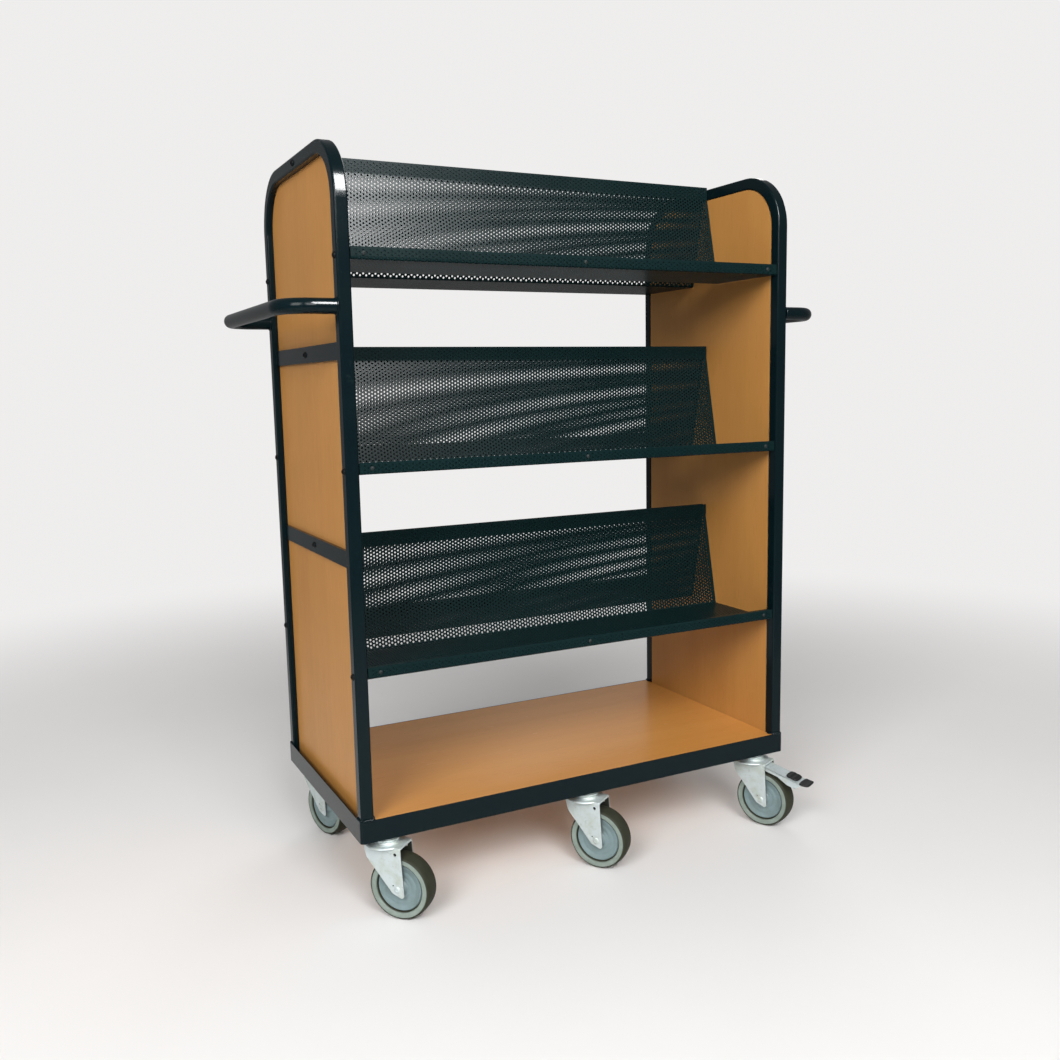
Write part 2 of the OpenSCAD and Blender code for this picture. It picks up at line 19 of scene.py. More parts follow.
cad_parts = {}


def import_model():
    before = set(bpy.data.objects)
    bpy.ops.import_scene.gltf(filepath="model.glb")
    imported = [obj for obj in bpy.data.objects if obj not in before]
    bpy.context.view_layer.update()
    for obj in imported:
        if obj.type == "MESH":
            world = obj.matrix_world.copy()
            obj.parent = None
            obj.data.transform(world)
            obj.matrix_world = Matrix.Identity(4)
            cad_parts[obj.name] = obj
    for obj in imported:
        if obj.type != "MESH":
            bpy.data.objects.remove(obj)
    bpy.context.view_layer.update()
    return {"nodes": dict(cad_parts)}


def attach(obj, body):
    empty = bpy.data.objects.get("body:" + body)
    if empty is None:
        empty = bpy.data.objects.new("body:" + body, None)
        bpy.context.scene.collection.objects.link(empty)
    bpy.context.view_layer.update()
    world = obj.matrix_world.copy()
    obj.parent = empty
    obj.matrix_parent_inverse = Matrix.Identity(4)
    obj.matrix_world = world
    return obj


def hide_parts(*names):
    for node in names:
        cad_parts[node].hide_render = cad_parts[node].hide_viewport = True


Point = tuple[float, float, float]
Pair = tuple[float, float]
# Points and triangles of a flat pattern.
Flat = tuple[np.ndarray, np.ndarray]
Socket = bpy.types.NodeSocket
Material = bpy.types.Material

log = logging.getLogger("book_trolley")
MM = 0.001
MM_PER_M = 1000.0
FRAME_BODY = "trolley_frame"
STEEL_SLOT = "powder_coated_steel"
ZINC_SLOT = "zinc_plated_steel"
PALE_TINT = (1.0, 0.99, 0.985, 1.0)
NO_TURN = np.eye(3)
# Stands the XY plane upright, so that what pointed along Z points to -Y.
UPRIGHT = np.array([[1.0, 0, 0], [0, 0, -1.0], [0, 1.0, 0]])
# Signs of X and Y at the four posts.
CORNERS = [(end, side) for end in (-1, 1) for side in (-1, 1)]


class Side(Enum):
    """The two long sides of the trolley, with the sign of Y."""

    FRONT = -1
    REAR = 1


class Grain(Enum):
    """Direction of the wood grain, as the scale of the pattern along X, Y and Z."""

    ALONG_SHELVES = (0.05, 1.0, 1.0)
    UPRIGHT = (1.0, 1.0, 0.05)


# Shapes


@dataclass(frozen=True)
class Shape:
    """A surface: its points in millimetres, and its faces as rows of three or four point numbers."""

    points: np.ndarray
    triangles: np.ndarray = field(default_factory=lambda: np.zeros((0, 3), int))
    quads: np.ndarray = field(default_factory=lambda: np.zeros((0, 4), int))

    def moved(self, turn: np.ndarray, offset: Point) -> "Shape":
        """The shape turned and then shifted. A mirror image has its faces reversed.

        Args:
            turn: A 3 x 3 matrix.
            offset: The shift in millimetres.

        Returns:
            The moved shape.
        """
        points = self.points @ turn.T + np.array(offset, float)
        order = 1 if np.linalg.det(turn) > 0 else -1
        return Shape(points, self.triangles[:, ::order], self.quads[:, ::order])


def joined(shapes: list[Shape]) -> Shape:
    """One shape made of several, with their point numbers shifted to suit."""
    starts = np.cumsum([0] + [len(shape.points) for shape in shapes])
    return Shape(
        np.vstack([shape.points for shape in shapes]),
        np.vstack([shape.triangles + start for shape, start in zip(shapes, starts)]),
        np.vstack([shape.quads + start for shape, start in zip(shapes, starts)]),
    )


def grid_quads(
    rows: int, columns: int, round_rows: bool = False, round_columns: bool = False
) -> np.ndarray:
    """Faces between the points of a grid that is stored row by row.

    Args:
        rows: Number of rows of points.
        columns: Number of points in a row.
        round_rows: Whether the last row joins the first.
        round_columns: Whether the last point of a row joins the first.

    Returns:
        The quads, as rows of four point numbers.
    """
    row, column = np.meshgrid(
        np.arange(rows if round_rows else rows - 1),
        np.arange(columns if round_columns else columns - 1),
        indexing="ij",
    )
    row, column = row.ravel(), column.ravel()
    below, beside = (row + 1) % rows, (column + 1) % columns
    corners = ((row, column), (row, beside), (below, beside), (below, column))
    return np.stack([across * columns + along for across, along in corners], 1)


def halved(quads: np.ndarray) -> np.ndarray:
    """Each quad as two triangles."""
    return np.vstack([quads[:, :3], quads[:, [0, 2, 3]]])


def turned(profile: np.ndarray, steps: int = 72) -> Shape:
    """A closed profile carried once round the Z axis: x = r cos a, y = r sin a, z = h.

    Args:
        profile: Radius and height of its points, counter-clockwise with the radius to the right.
        steps: Number of steps in the full turn.

    Returns:
        The closed ring or body.
    """
    angles = np.linspace(0, 2 * np.pi, steps, endpoint=False)
    radius, height = profile.T
    x, y = np.outer(np.cos(angles), radius), np.outer(np.sin(angles), radius)
    points = np.stack([x, y, np.broadcast_to(height, x.shape)], -1)
    return Shape(points.reshape(-1, 3), quads=grid_quads(steps, len(profile), True, True))


def rounded(corners: list[Point], steps: int = 5) -> np.ndarray:
    """A closed outline with round corners.

    Each corner is replaced by an arc that touches both of its sides: the arc's centre lies on the
    bisector, and its points run from one touching point to the other at equal angles.

    Args:
        corners: x, y and corner radius of each corner, counter-clockwise.
        steps: Number of steps in each arc.

    Returns:
        The points of the outline.
    """
    smallest_radius = 1e-3
    place = np.array([corner[:2] for corner in corners], float)
    radius = np.maximum([corner[2] for corner in corners], smallest_radius)
    into = place - np.roll(place, 1, 0)
    out = np.roll(place, -1, 0) - place
    into /= np.linalg.norm(into, axis=1)[:, None]
    out /= np.linalg.norm(out, axis=1)[:, None]
    cross = into[:, 0] * out[:, 1] - into[:, 1] * out[:, 0]
    bend = np.arctan2(cross, (into * out).sum(1))
    start = place - into * (radius * np.abs(np.tan(bend / 2)))[:, None]
    side = np.sign(bend)[:, None]
    centre = start + side * radius[:, None] * np.stack([-into[:, 1], into[:, 0]], 1)
    angle = bend[:, None] * np.linspace(0, 1, steps + 1)[None, :]
    spoke = start - centre
    x = spoke[:, :1] * np.cos(angle) - spoke[:, 1:] * np.sin(angle)
    y = spoke[:, :1] * np.sin(angle) + spoke[:, 1:] * np.cos(angle)
    return (centre[:, None, :] + np.stack([x, y], -1)).reshape(-1, 2)


def circle(x: float, y: float, radius: float, steps: int) -> np.ndarray:
    """Points of a circle, counter-clockwise."""
    angle = np.linspace(0, 2 * np.pi, steps, endpoint=False)
    return np.stack([x + radius * np.cos(angle), y + radius * np.sin(angle)], 1)


def doubled_areas(flat: np.ndarray, triangles: np.ndarray) -> np.ndarray:
    """Twice the area of each triangle of a flat pattern.

    Args:
        flat: Points of the pattern.
        triangles: Its triangles.

    Returns:
        The doubled areas, below zero for triangles that run clockwise.
    """
    corner = flat[triangles]
    first, second = corner[:, 1] - corner[:, 0], corner[:, 2] - corner[:, 0]
    return first[:, 0] * second[:, 1] - first[:, 1] * second[:, 0]


def walled(triangles: np.ndarray, upper: np.ndarray, lower: np.ndarray) -> Shape:
    """A plate between two matching surfaces, with a wall along each open edge of the flat pattern.

    An edge is open when no neighbour runs along it the other way. That holds for the outline and for
    the rim of each hole alike.

    Args:
        triangles: Triangles of the flat pattern, counter-clockwise seen from the upper side.
        upper: The place of each point on the upper surface.
        lower: The place of each point on the lower surface.

    Returns:
        The closed plate.
    """
    count = len(upper)
    start = triangles.ravel()
    end = np.roll(triangles, -1, 1).ravel()
    is_open = ~np.isin(start * count + end, end * count + start)
    start, end = start[is_open], end[is_open]
    walls = np.stack([start + count, end + count, end, start], 1)
    return Shape(np.vstack([upper, lower]), np.vstack([triangles, triangles[:, ::-1] + count]), walls)


def inside_loop(points: np.ndarray, loop: np.ndarray) -> np.ndarray:
    """Which points lie inside a closed loop: a ray to the right crosses it an odd number of times.

    Args:
        points: The points to be tested.
        loop: Points of the loop.

    Returns:
        True for each point that lies inside.
    """
    level_rise = 1e-9
    after = np.roll(loop, -1, 0)
    x, y = points[:, :1], points[:, 1:]
    spans = (loop[None, :, 1] > y) != (after[None, :, 1] > y)
    rise = np.where(after[:, 1] == loop[:, 1], level_rise, after[:, 1] - loop[:, 1])
    crossing = loop[:, 0] + (y - loop[:, 1]) / rise * (after[:, 0] - loop[:, 0])
    return (spans & (x < crossing)).sum(1) % 2 == 1


def plate(outline: np.ndarray, holes: list[np.ndarray], thickness: float) -> Shape:
    """A flat plate in the XY plane, from z = 0 up to its thickness, with true holes.

    Args:
        outline: Outer outline, counter-clockwise.
        holes: Outlines of the holes.
        thickness: Thickness of the plate.

    Returns:
        The closed plate.
    """
    loops = [outline] + [hole[::-1] for hole in holes]
    starts = np.cumsum([0] + [len(loop) for loop in loops])
    edges = [
        (int(first + i), int(first + (i + 1) % len(loop)))
        for loop, first in zip(loops, starts)
        for i in range(len(loop))
    ]
    with_holes, nearness = 4, 1e-6
    corners = [Vector(point) for point in np.vstack(loops)]
    points, _, faces, *_ = delaunay_2d_cdt(corners, edges, [], with_holes, nearness)
    flat = np.array([tuple(point) for point in points])
    triangles = np.array([face for face in faces if len(face) == 3], int)
    clockwise = doubled_areas(flat, triangles) < 0
    triangles[clockwise] = triangles[clockwise][:, ::-1]
    middle = flat[triangles].mean(1)
    inside = inside_loop(middle, outline)
    for hole in holes:
        inside &= ~inside_loop(middle, hole)
    top = np.column_stack([flat, np.full(len(flat), thickness)])
    bottom = np.column_stack([flat, np.zeros(len(flat))])
    return walled(triangles[inside], top, bottom)


def weld_bead(path: np.ndarray, radius: float, ripple: float = 2.4) -> Shape:
    """A bead of weld along a path: a ring of radius r (0.82 + 0.18 |cos(pi s / ripple)|) at length s.

    The ring shrinks to a point over the first and last two radii, so that both ends are closed.

    Args:
        path: Points along the middle line.
        radius: Radius of the bead.
        ripple: Distance between two ripples.

    Returns:
        The closed bead.
    """
    ring_steps, ripple_depth = 12, 0.18
    step = np.linalg.norm(np.diff(path, axis=0), axis=1)
    length = np.concatenate([[0], np.cumsum(step)])
    end_share = np.minimum(length, length[-1] - length) / (2 * radius)
    taper = np.sqrt(np.clip(end_share * (2 - end_share), 0, 1)) * (end_share < 1) + (end_share >= 1)
    waves = np.abs(np.cos(np.pi * length / ripple))
    size = radius * taper * (1 - ripple_depth + ripple_depth * waves)
    along = np.gradient(path, axis=0)
    along /= np.linalg.norm(along, axis=1)[:, None]
    is_steep = np.abs(along[:, 2:]) > 0.9
    helper = np.where(is_steep, np.array([[1.0, 0, 0]]), np.array([[0, 0, 1.0]]))
    across = np.cross(along, helper)
    across /= np.linalg.norm(across, axis=1)[:, None]
    upright = np.cross(along, across)
    angle = np.linspace(0, 2 * np.pi, ring_steps, endpoint=False)[None, :, None]
    ring = across[:, None, :] * np.cos(angle) + upright[:, None, :] * np.sin(angle)
    points = path[:, None, :] + ring * size[:, None, None]
    return Shape(points.reshape(-1, 3), quads=grid_quads(len(path), ring_steps, False, True)[:, ::-1])


def line(start: Point, end: Point, steps: int = 40) -> np.ndarray:
    """Points on a straight line."""
    share = np.linspace(0, 1, steps)[:, None]
    return np.array(start, float) * (1 - share) + np.array(end, float) * share


def make_piece(
    name: str, shape: Shape, body: str, slot: str, material: Material, stands_for: tuple[str, ...] = (),
    bevel: float = 0.0, smooth_angle: float = 38.0,
) -> bpy.types.Object:
    """Puts a shape into the scene as one piece of the trolley.

    Args:
        name: Name of the piece.
        shape: Its surface in millimetres.
        body: Body that it rides on.
        slot: Material slot of the record; not used.
        material: Its material.
        stands_for: CAD nodes that it replaces.
        bevel: Width of a bevel on its sharp edges, or 0 for none.
        smooth_angle: Largest angle in degrees between faces that are shaded as one.

    Returns:
        The object.
    """
    sharpest_flat_angle = 40.0
    mesh = bpy.data.meshes.new(name)
    corners = np.concatenate([shape.triangles.ravel(), shape.quads.ravel()]).astype(np.int32)
    face_sizes = np.repeat([3, 4], [len(shape.triangles), len(shape.quads)])
    starts = (np.cumsum(face_sizes) - face_sizes).astype(np.int32)
    mesh.vertices.add(len(shape.points))
    mesh.vertices.foreach_set("co", (shape.points * MM).astype(np.float32).ravel())
    mesh.loops.add(len(corners))
    mesh.loops.foreach_set("vertex_index", corners)
    mesh.polygons.add(len(starts))
    mesh.polygons.foreach_set("loop_start", starts)
    mesh.update(calc_edges=True)
    mesh.validate()
    mesh.shade_smooth()
    mesh.set_sharp_from_angle(angle=math.radians(smooth_angle))
    piece = bpy.data.objects.new(name, mesh)
    bpy.context.collection.objects.link(piece)
    piece.data.materials.append(material)
    if bevel:
        modifier = piece.modifiers.new("edges", "BEVEL")
        modifier.width = bevel * MM
        modifier.segments = 2
        modifier.limit_method = "ANGLE"
        modifier.angle_limit = math.radians(sharpest_flat_angle)
        modifier.use_clamp_overlap = True
    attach(piece, body)
    if stands_for:
        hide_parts(*stands_for)
    log.info("%s: %d points on %s", name, len(shape.points), body)
    return piece


def mark_points(piece: bpy.types.Object, name: str, values: np.ndarray) -> None:
    """Stores one number per point of a piece's mesh, which its material can read."""
    mark = piece.data.attributes.new(name, "FLOAT", "POINT")
    mark.data.foreach_set("value", values.astype(np.float32))


# Finishes


def linear(hex_colour: str) -> tuple[float, float, float, float]:
    """A colour written as sRGB hex, as the linear colour that a shader takes."""
    levels = [int(hex_colour[i : i + 2], 16) / 255 for i in (1, 3, 5)]
    return tuple(v / 12.92 if v <= 0.04045 else ((v + 0.055) / 1.055) ** 2.4 for v in levels) + (1.0,)


def add(
    tree: bpy.types.NodeTree, kind: str, inputs: dict[str | int, object], **settings: object
) -> bpy.types.Node:
    """Adds a shader node to a tree.

    Args:
        tree: The node tree.
        kind: Type of the node, without the words ShaderNode.
        inputs: Value of each input, or the socket that it is linked from.
        settings: Properties of the node, set before its inputs.

    Returns:
        The node.
    """
    made = tree.nodes.new("ShaderNode" + kind)
    for name, value in settings.items():
        setattr(made, name, value)
    for name, value in inputs.items():
        if isinstance(value, Socket):
            tree.links.new(value, made.inputs[name])
        else:
            made.inputs[name].default_value = value
    return made


class Look:
    """A material while it is made, with short ways to add the nodes that the finishes share."""

    def __init__(self, name: str) -> None:
        """Starts a material.

        Args:
            name: Name of the material.
        """
        self.material = bpy.data.materials.new(name)
        self.material.use_nodes = True
        self.tree = self.material.node_tree
        self.shader = self.tree.nodes["Principled BSDF"]
        self.place = add(self.tree, "TexCoord", {}).outputs["Object"]

    def noise(self, size_mm: float, detail: float, at: Socket | None = None, **more: float) -> Socket:
        """Noise with features of this size, at each place of the object or at other coordinates."""
        inputs = {"Vector": self.place if at is None else at, "Scale": MM_PER_M / size_mm, "Detail": detail}
        return add(self.tree, "TexNoise", inputs | more).outputs["Fac"]

    def ramp(self, value: Socket, source: Pair = (0.0, 1.0), target: Pair = (0.0, 1.0)) -> Socket:
        """Carries a value evenly from one range to another, and holds it there."""
        ends = {"From Min": source[0], "From Max": source[1], "To Min": target[0], "To Max": target[1]}
        return add(self.tree, "MapRange", {"Value": value} | ends).outputs["Result"]

    def mix(self, share: Socket, first: Socket | str, second: Socket | str) -> Socket:
        """Mixes two colours, each a socket or written as hex."""
        first, second = (linear(tone) if isinstance(tone, str) else tone for tone in (first, second))
        return add(self.tree, "Mix", {0: share, 6: first, 7: second}, data_type="RGBA").outputs[2]

    def mark(self, name: str) -> Socket:
        """A number that the mesh stores for each of its points."""
        return add(self.tree, "Attribute", {}, attribute_name=name).outputs["Fac"]

    def done(
        self, colour: Socket, roughness: Socket, relief: Socket, strength: float, depth_mm: float,
        **constants: float,
    ) -> Material:
        """Links the shader and ends the material.

        Args:
            colour: Base colour.
            roughness: Roughness.
            relief: Height of the fine surface relief.
            strength: Strength of the relief.
            depth_mm: Depth of the relief.
            constants: Inputs of the shader that are one number, with _ for each space in the name.

        Returns:
            The material.
        """
        bump = add(self.tree, "Bump", {"Height": relief, "Strength": strength, "Distance": depth_mm * MM})
        links = {"Base Color": colour, "Roughness": roughness, "Normal": bump.outputs["Normal"]}
        for name, socket in links.items():
            self.tree.links.new(socket, self.shader.inputs[name])
        for name, value in constants.items():
            self.shader.inputs[name.replace("_", " ")].default_value = value
        return self.material


@dataclass(frozen=True)
class PowderCoat:
    """Oven cured polyester powder coat on steel, in a very dark bottle green.

    It gives a deep colour under a smooth gloss, with a faint orange peel in the reflections, soft
    clouds in the gloss from handling, and a few dull rub marks. The peel is drawn coarser than the
    real 1 mm, so that it shows.
    """

    name: str
    colour: str = "#051218"
    cloud_colour: str = "#09191b"
    rub_colour: str = "#142826"
    gloss: Pair = (0.1, 0.22)
    specular: float = 0.12
    cloud_mm: float = 90.0
    rub_mm: float = 14.0
    rub_limits: Pair = (0.62, 0.78)
    rub_share: float = 0.45
    rub_dulling: float = 0.35
    peel_mm: float = 3.0
    peel_strength: float = 0.12
    peel_depth_mm: float = 0.4

    def material(self) -> Material:
        """Builds the material.

        Returns:
            The finished material.
        """
        look = Look(self.name)
        cloud = look.noise(self.cloud_mm, 3)
        rub = look.noise(self.rub_mm, 6, Roughness=0.7)
        rubbed = look.ramp(rub, self.rub_limits, (0.0, self.rub_share))
        base = look.mix(cloud, self.colour, self.cloud_colour)
        darkened = look.mix(rubbed, base, self.rub_colour)
        dull = look.ramp(cloud, target=self.gloss)
        dulled = {0: rubbed, 1: self.rub_dulling, 2: dull}
        roughness = add(look.tree, "Math", dulled, operation="MULTIPLY_ADD")
        return look.done(
            darkened, roughness.outputs[0], look.noise(self.peel_mm, 1), self.peel_strength, self.peel_depth_mm,
            Specular_IOR_Level=self.specular,
        )


@dataclass(frozen=True)
class LacqueredBeech:
    """Beech board under clear satin lacquer.

    It gives a warm orange brown with slow bands of tone, fine pores that run with the grain, and the
    short darker flecks that tell beech from other woods. The flecks are drawn wider than the real
    0.5 mm, so that they show.
    """

    grain: Grain
    pale: str = "#c2904f"
    dark: str = "#a9743a"
    fleck: str = "#85582d"
    wash: str = "#bd8646"
    gloss: Pair = (0.34, 0.5)
    specular: float = 0.2
    band_mm: float = 55.0
    pore_mm: float = 1.6
    fleck_mm: float = 2.5
    wash_mm: float = 160.0
    fleck_limits: Pair = (0.05, 0.24)
    fleck_share: float = 0.3
    band_limits: Pair = (0.3, 0.7)
    pore_strength: float = 0.12
    pore_depth_mm: float = 0.3

    def material(self) -> Material:
        """Builds the material.

        Returns:
            The finished material.
        """
        look = Look(f"lacquered_beech_{self.grain.name.lower()}")
        stretched = {"Vector": look.place, "Scale": self.grain.value}
        along = add(look.tree, "Mapping", stretched).outputs["Vector"]
        band = look.noise(self.band_mm, 4, along, Distortion=0.6)
        pore = look.noise(self.pore_mm, 3, along)
        wash = look.noise(self.wash_mm, 2)
        cells = {"Vector": along, "Scale": MM_PER_M / self.fleck_mm, "Randomness": 1.0}
        spot = add(look.tree, "TexVoronoi", cells).outputs["Distance"]
        fleck = look.ramp(spot, self.fleck_limits, (self.fleck_share, 0.0))
        ground = look.mix(look.ramp(band, self.band_limits), self.pale, self.dark)
        pored = look.mix(pore, ground, self.dark)
        washed = look.mix(wash, pored, self.wash)
        return look.done(
            look.mix(fleck, washed, self.fleck), look.ramp(pore, target=self.gloss), pore,
            self.pore_strength, self.pore_depth_mm, Specular_IOR_Level=self.specular,
        )


@dataclass(frozen=True)
class BrightZinc:
    """Bright zinc plating on pressed steel.

    It gives a pale silver with cloudy gloss, faint green and yellow from the passivation, and the fine
    lines that rolling and pressing leave. Places where the mesh's attribute inside is 1, between the
    legs of a fork, take a dark painted shade.
    """

    name: str
    colour: str = "#bdc7c8"
    tint: str = "#a3aa98"
    grime: str = "#6f756a"
    # Painted shade for the faces between the fork legs.
    inner: str = "#2c2f28"
    gloss: Pair = (0.4, 0.58)
    metallic: float = 0.4
    cloud_mm: float = 16.0
    dirt_mm: float = 7.0
    grain_mm: float = 1.2
    tint_limits: Pair = (0.45, 0.75)
    tint_share: float = 0.6
    dirt_limits: Pair = (0.58, 0.8)
    dirt_share: float = 0.5
    grain_strength: float = 0.08
    grain_depth_mm: float = 0.2

    def material(self) -> Material:
        """Builds the material.

        Returns:
            The finished material.
        """
        look = Look(self.name)
        cloud = look.noise(self.cloud_mm, 4)
        dirt = look.noise(self.dirt_mm, 5, Roughness=0.65)
        tinted = look.ramp(cloud, self.tint_limits, (0.0, self.tint_share))
        soiled = look.ramp(dirt, self.dirt_limits, (0.0, self.dirt_share))
        used = look.mix(soiled, look.mix(tinted, self.colour, self.tint), self.grime)
        return look.done(
            # Where the mark inside is 1 the colour gives way to the painted shade between the fork legs.
            look.mix(look.mark("inside"), used, self.inner), look.ramp(cloud, target=self.gloss),
            look.noise(self.grain_mm, 2), self.grain_strength, self.grain_depth_mm, Metallic=self.metallic,
        )


@dataclass(frozen=True)
class PlainFinish:
    """A moulded or blackened finish: one colour with clouds of a second, a grain and a roughness.

    It gives rubber, plastic and black oxide their even tone with slight dirt and a fine surface. Where
    it has a darkened colour, places where the mesh's attribute darkened is 1 take that, clouded with dust.
    """

    name: str
    colour: str
    cloud_colour: str
    cloud_mm: float
    grain_mm: float
    roughness: float
    bump: float
    specular: float
    darkened_colour: str = ""
    dust_colour: str = "#393a2d"
    cloud_limits: Pair = (0.35, 0.7)
    smoother: float = 0.08
    rougher: float = 0.12
    grain_depth_mm: float = 0.3

    def material(self) -> Material:
        """Builds the material.

        Returns:
            The finished material.
        """
        look = Look(self.name)
        cloud = look.noise(self.cloud_mm, 5, Roughness=0.6)
        colour = look.mix(look.ramp(cloud, self.cloud_limits), self.colour, self.cloud_colour)
        if self.darkened_colour:
            dusty = look.mix(cloud, self.darkened_colour, self.dust_colour)
            # On the tyre the mark draws the tread darker and paints shade into the groove by the wheel
            # centre.
            colour = look.mix(look.mark("darkened"), colour, dusty)
        gloss = (self.roughness - self.smoother, self.roughness + self.rougher)
        return look.done(
            colour, look.ramp(cloud, target=gloss), look.noise(self.grain_mm, 2), self.bump,
            self.grain_depth_mm, Specular_IOR_Level=self.specular,
        )


@dataclass(frozen=True)
class Finishes:
    """The finishes of the trolley, each made once."""

    steel: Material
    sheet: Material
    end_beech: Material
    deck_beech: Material
    zinc: Material
    dull_zinc: Material
    bolt: Material
    tyre: Material
    wheel: Material
    pad: Material

    @classmethod
    def made(cls) -> "Finishes":
        """Makes all the materials."""
        return cls(
            steel=PowderCoat("powder_coated_tube_dark_green").material(),
            sheet=PowderCoat(
                "powder_coated_sheet_dark_green", colour="#091c1e", cloud_colour="#0d2324",
                gloss=(0.26, 0.34), specular=0.07,
            ).material(),
            end_beech=LacqueredBeech(Grain.UPRIGHT).material(),
            # The deck's beech is drawn paler than the ends' to make up for the weaker light under the
            # shelves, a painted lightening.
            deck_beech=LacqueredBeech(
                Grain.ALONG_SHELVES, pale="#e0a55a", dark="#cb8b43", wash="#cf8f49", gloss=(0.2, 0.3),
                specular=0.5,
            ).material(),
            zinc=BrightZinc("bright_zinc_plated_steel").material(),
            dull_zinc=PlainFinish(
                "dull_zinc_screw_heads", "#262d2d", "#1b2121", cloud_mm=5, grain_mm=1.2, roughness=0.6,
                bump=0.1, specular=0.1,
            ).material(),
            bolt=PlainFinish(
                "black_oxide_bolt_steel", "#08090a", "#101214", cloud_mm=9, grain_mm=1.5, roughness=0.38,
                bump=0.08, specular=0.15,
            ).material(),
            # The tyre's darker colour goes on the tread, and as painted shade into the groove by the wheel
            # centre.
            tyre=PlainFinish(
                "grey_rubber_tyre", "#85918a", "#737f76", cloud_mm=18, grain_mm=1.4, roughness=0.62,
                bump=0.25, specular=0.1, darkened_colour="#26281d",
            ).material(),
            wheel=PlainFinish(
                "blue_grey_moulded_nylon", "#76888b", "#6b7b7b", cloud_mm=22, grain_mm=1.6, roughness=0.5,
                bump=0.1, specular=0.2,
            ).material(),
            pad=PlainFinish(
                "black_moulded_nylon", "#0c0d0e", "#151718", cloud_mm=12, grain_mm=1.2, roughness=0.42,
                bump=0.2, specular=0.25,
            ).material(),
        )


# Shelves


@dataclass(frozen=True)
class BentPath:
    """The cross section of a shelf sheet: straight stretches with round bends between them."""

    corners: np.ndarray
    bend_r: float
    arc_points: int = 9

    def sampled(self) -> np.ndarray:
        """Points along the path, each with its length from the start and its direction.

        Each bend is an arc that touches both of its stretches; length is the running sum of chords.

        Returns:
            Rows of length along the path, y, z and direction angle.
        """
        rows = [self.corners[0]]
        for before, corner, after in zip(self.corners, self.corners[1:], self.corners[2:]):
            into = (corner - before) / np.linalg.norm(corner - before)
            out = (after - corner) / np.linalg.norm(after - corner)
            bend = math.atan2(into[0] * out[1] - into[1] * out[0], float(into @ out))
            start = corner - into * self.bend_r * abs(math.tan(bend / 2))
            normal = np.sign(bend) * np.array([-into[1], into[0]])
            angle = np.linspace(0, bend, self.arc_points)[:, None]
            spoke = -normal * self.bend_r
            y = spoke[0] * np.cos(angle) - spoke[1] * np.sin(angle)
            z = spoke[0] * np.sin(angle) + spoke[1] * np.cos(angle)
            rows.append(start + normal * self.bend_r + np.hstack([y, z]))
        rows.append(self.corners[-1])
        path = np.vstack([np.atleast_2d(row) for row in rows])
        step = np.diff(path, axis=0)
        length = np.concatenate([[0], np.cumsum(np.linalg.norm(step, axis=1))])
        angle = np.unwrap(np.arctan2(step[:, 1], step[:, 0]))
        at_points = np.concatenate([[angle[0]], (angle[1:] + angle[:-1]) / 2, [angle[-1]]])
        return np.column_stack([length, path, at_points])

    def placed(self, flat: np.ndarray, height: float) -> np.ndarray:
        """Bends a flat pattern: y and z come from the path, plus height times its normal to the left.

        Args:
            flat: x and length along the path of each point.
            height: Distance of the points to the left of the path.

        Returns:
            The place of each point.
        """
        x, along = flat.T
        length, y, z, angle = self.sampled().T
        direction = np.interp(along, length, angle)
        return np.column_stack([
            x,
            np.interp(along, length, y) - height * np.sin(direction),
            np.interp(along, length, z) + height * np.cos(direction),
        ])


